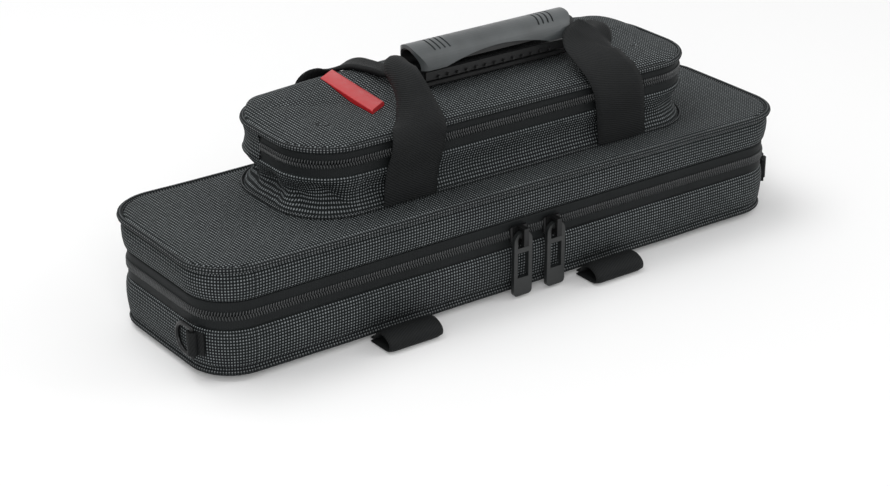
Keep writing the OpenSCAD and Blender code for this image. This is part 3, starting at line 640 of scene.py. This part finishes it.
def bed():
    """Plush bed as one skin: a height field on top, and sides down to the floor."""
    l, w = CASE_L - 2 * INNER_IN - 0.6, CASE_W - 2 * INNER_IN - 0.6
    r = CORNER_R - INNER_IN
    nx, ny = 210, 66
    verts, faces = [], []

    def inside(x, y):
        qx, qy = abs(x) - (l / 2 - r), abs(y) - (w / 2 - r)
        if qx <= 0 or qy <= 0:
            return x, y
        d = math.hypot(qx, qy)
        if d <= r:
            return x, y
        return (math.copysign(l / 2 - r + qx * r / d, x), math.copysign(w / 2 - r + qy * r / d, y))

    for i in range(nx + 1):
        for j in range(ny + 1):
            x, y = inside(-l / 2 + l * i / nx, -w / 2 + w * j / ny)
            edge = min(l / 2 - abs(x), w / 2 - abs(y))
            drop = 2.2 * max(0.0, 1 - edge / 3.0) ** 2
            verts.append((x, y, bed_height(x, y) - drop))
    for i in range(nx):
        for j in range(ny):
            a = i * (ny + 1) + j
            faces.append((a, a + ny + 1, a + ny + 2, a + 1))
    rim = ([i * (ny + 1) for i in range(nx)] + [nx * (ny + 1) + j for j in range(ny)]
           + [(nx - i) * (ny + 1) + ny for i in range(nx)] + [ny - j for j in range(ny)])
    o = len(verts)
    verts += [(verts[q][0], verts[q][1], WALL + 1.2) for q in rim]
    n = len(rim)
    faces += [(rim[k], o + k, o + (k + 1) % n, rim[(k + 1) % n]) for k in range(n)]
    faces.append(tuple(o + k for k in reversed(range(n))))
    obj = weld(make("flute_bed_plush", verts, faces, None, (M_PLUSH,)), 0.02)
    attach(obj, "base")
    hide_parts("flute_bed")


bed()


def lid_lining():
    """Padded panel in the lid, with a round edge and a face that is a little uneven."""
    l, w, r = CASE_L - 2 * INNER_IN - 0.8, CASE_W - 2 * INNER_IN - 0.8, CORNER_R - INNER_IN - 0.4
    stations, total = outline(l, w, r)
    low, high = 55.9, 66.6

    def face(x, y):
        return low + soften(x, y, 0, 0.5, 30).z * 0.5

    profile = [(-r, low), (-12, low), (-8, low + 0.2)] + arc(-5.5, low + 5.5, 5.2, -80, 0, 6) + [
        (-0.6, high - 3), (-3, high), (-r, high)]
    skin = sweep(stations, total, profile, planar=range(3))
    fill(skin, stations, l, w, r, face, False)
    fill(skin, stations, l, w, r, lambda x, y: high, True)
    obj = make("lid_pad_plush", *skin[:3], (M_PLUSH,))
    weld(obj, 0.5)
    # Held from 58 mm up, and free from 56 mm down
    puff(obj, lambda x, y, z: (58 - z) / 2, 2.4)
    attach(obj, "lid")
    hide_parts("lid_pad")


lid_lining()

# ---- Pouch ------------------------------------------------------------------------------------

POUCH, POUCH_RUN = outline(POUCH_L, POUCH_W, POUCH_R, POUCH_X, POUCH_Y, step=5.0, corner=20)
ZIP_END_Y = POUCH_FRONT + ZIP_REACH


# How far the pouch wall is drawn in, how much more at its ends, and the depth of its waves
# and creases
DRAWN_IN, DRAWN_IN_ENDS, WAVE, CREASE = 4.0, 3.2, 3.4, 2.6


def pouch_fold(p, n, d):
    """Folds of the soft pouch wall: drawn in at half height, and most of all at its left end."""
    v = (p.z - CASE_H) / (POUCH_TAPE_LOW - CASE_H)
    waist = math.sin(math.pi * max(0.0, min(1.0, v))) ** 1.5
    ends = min(1.0, max(0.0, (abs(p.x - POUCH_X) - 95) / 40)) * (1.0 if p.x < POUCH_X else 0.4)
    ripple = noise.noise(Vector((p.x / 15 + v * 0.5, p.y / 15, v * 0.9)))
    crease = max(0.0, 1 - abs(noise.noise(Vector((p.x / 24 + v, p.y / 24, v * 0.8)))) * 5)
    return n * (waist * (-DRAWN_IN - DRAWN_IN_ENDS * ends + WAVE * ripple * (0.3 + 1.4 * ends)
                         - CREASE * crease * (0.2 + 1.4 * ends)))


def pouch_skin():
    """The pouch wall as one thin skin, up to the zip tape."""
    rows = 12
    zs = [CASE_H + 0.1 + (POUCH_TAPE_LOW - CASE_H + 1.4) * i / rows for i in range(rows + 1)]
    outer = [(-0.5 - (1.3 if i == rows else 0), z) for i, z in enumerate(zs)]
    inner = [(d - 2.0, z) for d, z in reversed(outer)]
    verts, faces, uvs, _ = sweep(POUCH, POUCH_RUN, outer + inner + outer[:1], lift=pouch_fold)
    obj = make("pouch_skin", verts, faces, uvs, (M_BODY,))
    weld(obj, 0.01)
    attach(obj, "lid")
    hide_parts("pouch_wall")


pouch_skin()
piping("pouch_seam_cord", POUCH, POUCH_RUN, 0.3, CASE_H + 0.9, 1.8, "lid", ("pouch_seam",),
       lift=None)

ZIPPED = stretch(POUCH, POUCH_RUN, lambda x, y: y < ZIP_END_Y)
CLOSED = stretch(POUCH, POUCH_RUN, lambda x, y: y > ZIP_END_Y - 5.5)
POUCH_COIL_D = -POUCH_TAPE_IN + 1.25
ribbon("pouch_tape", ZIPPED, POUCH_RUN, POUCH_TAPE_D, POUCH_TAPE_LOW - SEWN_IN,
       POUCH_SPLIT - HALF_GAP, "lid", ("pouch_zip_tape",), M_TAPE)
ribbon("flap_tape", ZIPPED, POUCH_RUN, POUCH_TAPE_D, POUCH_SPLIT + HALF_GAP,
       FLAP_UNDER + SEWN_IN, "pouch_flap", ("flap_zip_tape",), M_TAPE)
teeth("pouch_teeth", ZIPPED, POUCH_COIL_D, POUCH_SPLIT, -1, "lid", ("pouch_zip_coil",))
teeth("flap_teeth", ZIPPED, POUCH_COIL_D, POUCH_SPLIT, 1, "pouch_flap", ("flap_zip_coil",))


def gusset_wave(p, n, d):
    """Slack in the cloth behind the ends of the zip."""
    v = (p.z - POUCH_TAPE_LOW) / (FLAP_UNDER - POUCH_TAPE_LOW)
    return n * (-1.4 * math.sin(math.pi * max(0.0, min(1.0, v)))
                + 0.8 * noise.noise(Vector((p.x / 22, p.y / 22, v))))


rear_web = ribbon("pouch_rear_cloth", CLOSED, POUCH_RUN, -0.9, POUCH_TAPE_LOW - 0.8,
                  FLAP_UNDER + 1.0, None, (), M_BODY, thick=1.2,
                  lift=gusset_wave)
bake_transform(rear_web)

# How far the pouch top rises in the middle, and the factor for its swell behind the middle
FLAP_CROWN = 3.4
REAR_FULLNESS = 13.0


def flap_height(x, y):
    """Height of the stuffed pouch top: highest behind the middle, easing to the edge."""
    u = min(1.0, abs(x - POUCH_X) / (POUCH_L / 2))
    v = min(1.0, abs(y - POUCH_Y) / (POUCH_W / 2))
    rise = (1 - u ** 4) ** 0.8 * (1 - v ** 2.6)
    stuffed = (1 - u ** 4) ** 0.8 * v ** 1.3 * (1 - v ** 6) if y > POUCH_Y else 0.0
    return (FLAP_EDGE_Z + FLAP_CROWN * rise + REAR_FULLNESS * stuffed
            + soften(x, y, 0, 0.8, 38).z * 0.6)


def flap_lift(p, n, d):
    """Raises the upper face of the pouch top to its crown."""
    upper = abs(p.z - FLAP_EDGE_Z) < 0.01
    return Vector((0, 0, flap_height(p.x, p.y) - FLAP_EDGE_Z if upper else 0.0))


def under_badge(x, y):
    """Whether a point of the pouch top lies under the badge, which keeps it flat."""
    return abs(x - BADGE_X) < BADGE_W / 2 + 1 and BADGE_Y[0] - 1.5 < y < BADGE_Y[1] + 1.5


def flap():
    """Top panel of the pouch with a soft edge and a lining below."""
    profile = [(-POUCH_R, FLAP_EDGE_Z), (-30, FLAP_EDGE_Z), (-24, FLAP_EDGE_Z),
               (-18, FLAP_EDGE_Z), (-12, FLAP_EDGE_Z), (-7, FLAP_EDGE_Z), (-3.4, FLAP_EDGE_Z),
               (-2.4, FLAP_EDGE_Z - 0.8), (-1.5, 113.4), (-1.3, 112.4), (-1.6, FLAP_UNDER),
               (-3, FLAP_UNDER - 0.2), (-12, FLAP_UNDER - 0.3), (-POUCH_R, FLAP_UNDER - 0.3)]
    lining_from = 10
    skin = sweep(POUCH, POUCH_RUN, profile, planar=range(7), lift=flap_lift,
                 tag=lambda j: 1 if j >= lining_from else 0)
    for height, up, tag in ((flap_height, True, 0), (lambda x, y: FLAP_UNDER - 0.3, False, 1)):
        fill(skin, POUCH, POUCH_L, POUCH_W, POUCH_R, height, up, tag, POUCH_X, POUCH_Y)
    verts, faces, uvs, tags = skin
    obj = make("flap_cover", verts, faces, uvs, (M_BODY, M_LINING), tags)
    weld(obj, 0.5)
    # Held up to just above the edge, and under the badge
    puff(obj, lambda x, y, z: 0 if under_badge(x, y) else min((z - 115.6) / 0.8, 1.0), 1.4)
    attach(obj, "pouch_flap")
    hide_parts("flap_panel")


flap()
piping("flap_edge_piping", POUCH, POUCH_RUN, -1.7, 114.0, POUCH_PIPING_D - 0.2, "pouch_flap",
       ("flap_piping",), lift=None)


# The badge is stiff and lies straight over the swell of the cloth
BADGE_FRONT_Z, BADGE_REAR_Z = 118.6, 123.2


def badge():
    """Bare raised bar on the pouch top, with slanted ends and bevelled edges."""
    half, slant, rows = BADGE_W / 2, 7.4, 16
    y0, y1 = BADGE_Y
    section = [(-1.0, -2.4), (-1.0, 1.3), (-0.93, 1.8), (-0.8, 2.1), (0.8, 2.1), (0.93, 1.8),
               (1.0, 1.3), (1.0, -2.4)]
    verts, faces = [], []
    for i in range(rows + 1):
        v = i / rows
        for side, rise in section:
            inset = 0.9 * max(0.0, rise - 1.3)
            low = y0 + slant * (side + 1) / 2 + inset
            high = y1 - slant * (1 - side) / 2 - inset
            y = low + (high - low) * v
            lie = BADGE_FRONT_Z + (BADGE_REAR_Z - BADGE_FRONT_Z) * (y - y0) / (y1 - y0)
            verts.append((BADGE_X + half * side, y, lie + rise))
    m = len(section)
    for i in range(rows):
        for k in range(m):
            a, b = i * m + k, i * m + (k + 1) % m
            faces.append((a, b, b + m, a + m))
    faces += [tuple(range(m)), tuple(rows * m + k for k in reversed(range(m)))]
    obj = weld(make("pouch_badge", verts, faces, None, (M_BADGE,)), 0.01)
    bevelled(obj, 0.3)
    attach(obj, "pouch_flap")
    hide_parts("flap_badge")


badge()

# ---- Straps -----------------------------------------------------------------------------------

FRONT_BUNDLE = (GRIP_Y - 4.9, GRIP_Z - 5.7)
REAR_BUNDLE = (GRIP_Y + 3, GRIP_Z - 4.2)
BUNDLE_W, BUNDLE_H = 6.2, 5.4
GRIP_LEFT, GRIP_RIGHT = GRIP_X - GRIP_L / 2, GRIP_X + GRIP_L / 2

# Stations of each webbing leg, from its foot to the grip: the middle of the webbing, how far
# it has turned about its own length in degrees, its width and how much its edges curl
FRONT_LEFT = [
    (STRAP_X[0] - 4, FRONT_FACE, STRAP_FOOT_Z, 0, WEB_W, 0),
    (STRAP_X[0] - 4, FRONT_FACE, 78, 0, WEB_W, 0),
    (STRAP_X[0] - 3, FRONT_FACE - 0.1, 92, 0, WEB_W, 0),
    (STRAP_X[0], FRONT_FACE - 2.4, 104, 0, WEB_W, 0), (-64.5, -46, 114, 4, 36, 0.4),
    (-62.5, -43.5, 122, 28, 30, 2.4), (-61, -33, 131, 58, 24, 5),
    (-59.5, -21, 139.5, 80, 20, 5.5), (-55, -9, 145, 90, 18, 5), (-48.5, -1.5, 145.5, 90, 17, 4),
    (-42.5, 2, 141, 90, 14, 2), (GRIP_LEFT - 3, 3, 135, 90, 10, 1),
    (GRIP_LEFT - 1.5, *FRONT_BUNDLE, 90, 6.6, 0), (GRIP_LEFT + 6, *FRONT_BUNDLE, 90, BUNDLE_W, 0)]
FRONT_RIGHT = [
    (STRAP_X[1], FRONT_FACE, STRAP_FOOT_Z, 0, WEB_W, 0),
    (STRAP_X[1], FRONT_FACE, 78, 0, WEB_W, 0),
    (STRAP_X[1] - 1, FRONT_FACE - 0.1, 90, 0, WEB_W, 0),
    (89, FRONT_FACE - 2.2, 103, 0, WEB_W, 0), (86, -44.4, 113, 0, WEB_W, 0),
    (83.5, -40, 121, 0, WEB_W, 0), (82, -31, 127, 2, WEB_W, 0), (83, -20, 131.5, 8, WEB_W, 0.4),
    (92, -13.5, 134.5, 16, 32, 1), (101, -6, 136.5, 42, 20, 1), (98, 2, 135.5, 74, 12, 0),
    (89, 2.6, 131.5, 90, 8.4, 0), (GRIP_RIGHT + 1, *FRONT_BUNDLE, 90, 6.6, 0),
    (GRIP_RIGHT - 6, *FRONT_BUNDLE, 90, BUNDLE_W, 0)]
REAR_LEFT = [
    (STRAP_X[0], BACK_FACE, STRAP_FOOT_Z, 0, WEB_W, 0),
    (STRAP_X[0], BACK_FACE + 0.2, 94, 0, WEB_W, 0),
    (STRAP_X[0], BACK_FACE + 3, POUCH_SPLIT, 0, WEB_W, 0), (-63, 64.8, 113.5, 2, 34, 0.4),
    (-54, 61.8, 119.8, 12, 22, 0.6), (-46, 53, 126, 32, 16, 0.8), (-43, 38, 127, 55, 13, 0.8),
    (-41, 25, 127.5, 78, 10, 1), (-39.5, 14, 130, 90, 7.5, 0.6),
    (GRIP_LEFT - 2, *REAR_BUNDLE, 90, 6.6, 0), (GRIP_LEFT + 6, *REAR_BUNDLE, 90, BUNDLE_W, 0)]
REAR_RIGHT = [
    (STRAP_X[1], BACK_FACE, STRAP_FOOT_Z, 0, WEB_W, 0),
    (STRAP_X[1], BACK_FACE + 0.2, 94, 0, WEB_W, 0),
    (STRAP_X[1], BACK_FACE + 2.6, POUCH_SPLIT, 0, WEB_W, 0), (93, 63.6, 113, 0, WEB_W, 0),
    (93, 60.5, 122.5, 0, WEB_W, 0), (93, 50, 128.6, 2, WEB_W, 0), (93.5, 36, 131, 10, 36, 0.4),
    (94, 26, 130.5, 34, 28, 0.6), (92, 18.5, 130, 66, 13, 0), (88.5, 13, 130.6, 88, 7.6, 0),
    (GRIP_RIGHT + 1, *REAR_BUNDLE, 90, 6.6, 0), (GRIP_RIGHT - 6, *REAR_BUNDLE, 90, BUNDLE_W, 0)]


def cut_corners(points):
    """One round of corner cutting, which keeps the ends."""
    out = [points[0]]
    for a, b in zip(points, points[1:]):
        out.append(tuple(p * 0.75 + q * 0.25 for p, q in zip(a, b)))
        out.append(tuple(p * 0.25 + q * 0.75 for p, q in zip(a, b)))
    return out + [points[-1]]


def web_ring(centre, across, up, half, thick, curl, n=10):
    """Section of webbing: a band with round edges, which may curl up at both edges."""
    top, bottom = [], []
    for i in range(n + 1):
        u = -1 + 2 * i / n
        edge = (1 - abs(u) ** 10) ** 0.5 if abs(u) < 1 else 0.0
        mid = centre + across * half * u + up * curl * u * u
        t = thick * max(0.25, edge)
        top.append(mid + up * t)
        bottom.append(mid - up * t)
    return bottom + top[::-1]


def leg(stations, fore):
    """Sections of one webbing leg from its foot to the grip."""
    for _ in range(3):
        stations = cut_corners(stations)
    inward = 1 if stations[-1][0] > stations[0][0] else -1
    path = [Vector(q[:3]) for q in stations]
    rings = []
    for i, p in enumerate(path):
        turn, width, curl = stations[i][3:]
        run = (path[min(i + 1, len(path) - 1)] - path[max(i - 1, 0)]).normalized()
        turn = math.radians(turn)
        across = Vector((math.cos(turn), -inward * fore * math.sin(turn), 0))
        across = (across - run * run.dot(across)).normalized()
        share = (WEB_W - width) / (WEB_W - BUNDLE_W)
        thick = (WEB_T + (BUNDLE_H - WEB_T) * share ** 2) / 2
        rings.append(web_ring(p, across, run.cross(across), width / 2, thick, curl))
    return rings


def strap(name, left, right, fore, body, nodes):
    """One length of webbing: up from the left foot, through the grip and down to the right."""
    near, far = leg(left, fore), leg(right, fore)
    n = len(near[0])
    half_n = n // 2
    rings = near + [ring[:half_n][::-1] + ring[half_n:][::-1] for ring in reversed(far)]
    verts = [tuple(p) for ring in rings for p in ring]
    faces, uvs, along = [], [], [0.0]
    for a, b in zip(rings, rings[1:]):
        along.append(along[-1] + ((sum(b, Vector()) - sum(a, Vector())) / n).length)
    us = [WEB_W * i / (half_n - 1) for i in range(half_n)]
    us = us + us[::-1]
    for i in range(len(rings) - 1):
        for k in range(n):
            m = (k + 1) % n
            faces.append((i * n + k, (i + 1) * n + k, (i + 1) * n + m, i * n + m))
            uvs += [(us[k], along[i]), (us[k], along[i + 1]), (us[m], along[i + 1]),
                    (us[m], along[i])]
    last = (len(rings) - 1) * n
    faces += [tuple(range(n)), tuple(last + k for k in reversed(range(n)))]
    uvs += [(u, 0) for u in us] + [(u, along[-1]) for u in reversed(us)]
    obj = weld(make(name, verts, faces, uvs, (M_WEB,)), 0.001)
    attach(obj, body)
    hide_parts(*nodes)


strap("front_webbing", FRONT_LEFT, FRONT_RIGHT, 1, "front_handle", ("front_strap",))
strap("rear_webbing", REAR_LEFT, REAR_RIGHT, -1, "rear_handle", ("rear_strap",))


def band(name, line, x0, body, nodes):
    """Webbing that runs in a plane across the case, given by its middle line."""
    pts = [Vector((0, y, z)) for y, z in line]
    verts, faces, uvs = [], [], []
    n_x = 10
    along = 0.0
    rows = []
    for i, p in enumerate(pts):
        run = (pts[min(i + 1, len(pts) - 1)] - pts[max(i - 1, 0)]).normalized()
        side = Vector((0, -run.z, run.y))
        if i:
            along += (p - pts[i - 1]).length
        ring = []
        for s in (1, -1):
            for k in range(n_x + 1) if s > 0 else reversed(range(n_x + 1)):
                u = k / n_x
                edge = max(0.3, (1 - abs(2 * u - 1) ** 12) ** 0.5)
                q = p + side * (s * WEB_T / 2 * edge)
                ring.append((x0 + WEB_W * u, q.y, q.z, WEB_W * u))
        rows.append((ring, along))
    n = len(rows[0][0])
    for ring, _ in rows:
        verts += [v[:3] for v in ring]
    for i in range(len(rows) - 1):
        for k in range(n):
            m = (k + 1) % n
            faces.append((i * n + k, i * n + m, (i + 1) * n + m, (i + 1) * n + k))
            ua, ub = rows[i][0][k][3], rows[i][0][m][3]
            uvs += [(ua, rows[i][1]), (ub, rows[i][1]), (ub, rows[i + 1][1]),
                    (ua, rows[i + 1][1])]
    for row, order in ((0, reversed(range(n))), (len(rows) - 1, range(n))):
        order = list(order)
        faces.append(tuple(row * n + k for k in order))
        uvs += [(rows[row][0][k][3], rows[row][1]) for k in order]
    obj = make(name, verts, faces, uvs, (M_WEB,))
    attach(obj, body)
    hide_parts(*nodes)


# Low and high level of the middle of a loop's webbing
LOOP_LOW, LOOP_HIGH = WEB_T / 2 + 0.05, LOOP_H - WEB_T / 2
# Both tails stop against the cord under the front edge, and the tip stands out in front
tail = -CASE_W / 2 + 5.2 - FOOT_PIPING_D / 2 - 0.2 - WEB_T / 2
tip = -CASE_W / 2 - LOOP_D + WEB_T / 2
loop_line = [(tail, 3 * LOOP_LOW), (tail - 3.4, 3 * LOOP_LOW + 0.2), (tail - 6.4, LOOP_HIGH),
             (tip + 6, LOOP_HIGH + 0.3), (tip - 0.4, LOOP_HIGH * 0.7), (tip - 0.4, LOOP_LOW + 0.6),
             (tip + 4, LOOP_LOW), (tail, LOOP_LOW)]
for _ in range(4):
    loop_line = cut_corners(loop_line)
band("left_bottom_loop", loop_line, LOOP_X[0], "base", ("bottom_loop_left",))
band("right_bottom_loop", loop_line, LOOP_X[1], "base", ("bottom_loop_right",))

# ---- D-ring tabs ------------------------------------------------------------------------------

RING_Z, RING_D, TAB_H, TAB_T = 23.5, 2.8, 14.4, 1.6
BAR_TURN = 16.5
WALL_R = CORNER_R - WALL_INSET - 0.6
RING_AT = (CASE_L / 2 - CORNER_R + WALL_R + 0.3 + RING_D / 2,
           -CASE_W / 2 + CORNER_R - (WALL_R + 0.3 + RING_D / 2) * math.tan(math.radians(BAR_TURN)))


def tab(name, side, nodes):
    """Webbing that comes off the round corner of the case and goes round the D-ring's bar."""
    cx, cy = CASE_L / 2 - CORNER_R, -CASE_W / 2 + CORNER_R
    mid_r = RING_D / 2 + 0.25 + TAB_T / 2
    tail_r = WALL_R + 0.2 + TAB_T * 0.9
    line = []
    for a in range(30, 20, -2):
        b = math.radians(-a)
        line.append((cx + tail_r * math.cos(b), cy + tail_r * math.sin(b)))
    for a in range(-150, 131, 14):
        b = math.radians(a)
        line.append((RING_AT[0] + mid_r * math.cos(b), RING_AT[1] + mid_r * math.sin(b)))
    line = [p for p in line if math.hypot(p[0] - cx, p[1] - cy) > WALL_R + TAB_T / 2 - 0.5]
    verts, faces, uvs = [], [], []
    rows = 6
    n = len(line)
    along = 0.0
    for i, (x, y) in enumerate(line):
        a, b = line[max(i - 1, 0)], line[min(i + 1, n - 1)]
        t = Vector((b[0] - a[0], b[1] - a[1], 0)).normalized()
        nrm = Vector((t.y, -t.x, 0))
        for s in (1, -1):
            for j in range(rows + 1):
                q = Vector((x, y, 0)) + nrm * (s * TAB_T / 2)
                z = RING_Z - TAB_H / 2 + TAB_H * j / rows
                verts.append((side * q.x, q.y, z))
    m = 2 * (rows + 1)
    for i in range(n - 1):
        step = math.hypot(line[i + 1][0] - line[i][0], line[i + 1][1] - line[i][1])
        ring = list(range(rows + 1)) + [2 * rows + 1 - j for j in range(rows + 1)]
        for k in range(len(ring)):
            p, q = ring[k], ring[(k + 1) % len(ring)]
            f = (i * m + p, i * m + q, (i + 1) * m + q, (i + 1) * m + p)
            zp, zq = verts[p][2], verts[q][2]
            t = [(zp, along), (zq, along), (zq, along + step), (zp, along + step)]
            if side < 0:
                f, t = f[::-1], t[::-1]
            faces.append(f)
            uvs += t
        along += step
    for base_row in (0, (n - 1) * m):
        ring = [base_row + j for j in range(rows + 1)] + [
            base_row + 2 * rows + 1 - j for j in range(rows + 1)]
        faces.append(tuple(ring))
        uvs += [(0, 0)] * len(ring)
    obj = make(name, verts, faces, uvs, (M_WEB,))
    bevelled(obj, 0.3)
    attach(obj, "base")
    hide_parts(*nodes)


tab("left_ring_tab", -1, ("ring_tab_left",))
tab("right_ring_tab", 1, ("ring_tab_right",))

# ---- CAD pieces that stay, with better finishes -----------------------------------------------


def finish(names, mat, round_edges=0.0):
    """Gives CAD nodes a material and, where asked, softly rounded edges."""
    for name in names:
        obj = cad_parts[name]
        obj.data.materials.clear()
        obj.data.materials.append(mat)
        if round_edges:
            bevelled(obj, round_edges)


finish(("pull_left", "pull_right", "pouch_pull"), M_PULL, 0.5)
finish(("slider_left", "slider_right", "pouch_slider"), M_SLIDER, 0.3)
finish(("d_ring_left", "d_ring_right"), M_RING)
finish(("grip_cover",), M_GRIP, 0.25)
finish(("grip_liner", "grip_core"), M_RUBBER, 0.2)

# ---- Camera, floor and light ------------------------------------------------------------------

CAMERA_AT = (-0.7280, -0.9833, 0.5742)
YAW, PITCH = math.radians(-36.006), math.radians(24.727)
camera = bpy.data.objects.new("camera", bpy.data.cameras.new("camera"))
bpy.context.scene.collection.objects.link(camera)
right = Vector((math.cos(YAW), math.sin(YAW), 0))
back = Vector((math.sin(YAW) * math.cos(PITCH), -math.cos(YAW) * math.cos(PITCH),
               math.sin(PITCH)))
up = back.cross(right)
camera.matrix_world = Matrix((
    (right.x, up.x, back.x, CAMERA_AT[0]), (right.y, up.y, back.y, CAMERA_AT[1]),
    (right.z, up.z, back.z, CAMERA_AT[2]), (0, 0, 0, 1)))
camera.data.sensor_width = 36.0
camera.data.lens = 86.03
camera.data.clip_end = 50
bpy.context.scene.camera = camera


def seen(tree):
    """Share of rays that look at the background: from the camera, or in gloss and glass."""
    path = tree.nodes.new("ShaderNodeLightPath")
    first = tree.nodes.new("ShaderNodeMath")
    second = tree.nodes.new("ShaderNodeMath")
    first.operation = second.operation = "MAXIMUM"
    tree.links.new(path.outputs["Is Camera Ray"], first.inputs[0])
    tree.links.new(path.outputs["Is Glossy Ray"], first.inputs[1])
    tree.links.new(first.outputs[0], second.inputs[0])
    tree.links.new(path.outputs["Is Transmission Ray"], second.inputs[1])
    return second.outputs[0]


FLOOR_HALF, FLOOR_Z, FLOOR_GLOW = 6000, -0.4, 0.09
# The sky gives less light to the case than the camera sees of it
SKY_LIGHT, SKY_SEEN = 0.55, 1.0

floor = make("floor", [(FLOOR_HALF * sx, FLOOR_HALF * sy, FLOOR_Z)
                       for sx, sy in ((-1, -1), (1, -1), (1, 1), (-1, 1))], [(0, 1, 2, 3)])
floor_mat = bpy.data.materials.new("floor_paper")
floor_mat.use_nodes = True
tree = floor_mat.node_tree
bsdf = tree.nodes["Principled BSDF"]
bsdf.inputs["Base Color"].default_value = (0.8, 0.8, 0.8, 1)
bsdf.inputs["Roughness"].default_value = 0.9
bsdf.inputs["Emission Color"].default_value = (1, 1, 1, 1)
glow = tree.nodes.new("ShaderNodeMath")
glow.operation = "MULTIPLY"
tree.links.new(seen(tree), glow.inputs[0])
glow.inputs[1].default_value = FLOOR_GLOW
tree.links.new(glow.outputs[0], bsdf.inputs["Emission Strength"])
floor.data.materials.append(floor_mat)

world = bpy.data.worlds.new("studio")
bpy.context.scene.world = world
world.use_nodes = True
tree = world.node_tree
background = tree.nodes["Background"]
background.inputs[0].default_value = (1, 1, 1, 1)
strength = tree.nodes.new("ShaderNodeMapRange")
tree.links.new(seen(tree), strength.inputs[0])
strength.inputs[3].default_value = SKY_LIGHT
strength.inputs[4].default_value = SKY_SEEN
tree.links.new(strength.outputs[0], background.inputs[1])


LAMP_AIM = Vector((0, 0, 0.05))


def lamp(name, at, size, watts):
    """A soft rectangular studio lamp that looks at the case."""
    data = bpy.data.lights.new(name, "AREA")
    data.shape = "RECTANGLE"
    data.size, data.size_y = size
    data.energy = watts
    obj = bpy.data.objects.new(name, data)
    bpy.context.scene.collection.objects.link(obj)
    obj.location = at
    obj.rotation_euler = (LAMP_AIM - Vector(at)).to_track_quat("-Z", "Y").to_euler()


lamp("key", (-0.5, 0.5, 1.9), (1.6, 1.2), 20)
lamp("front_fill", (-1.3, -1.9, 1.3), (1.6, 1.2), 24)
lamp("side_fill", (1.8, -0.9, 1.2), (1.2, 1.2), 8)

bpy.context.scene.view_settings.view_transform = "Standard"
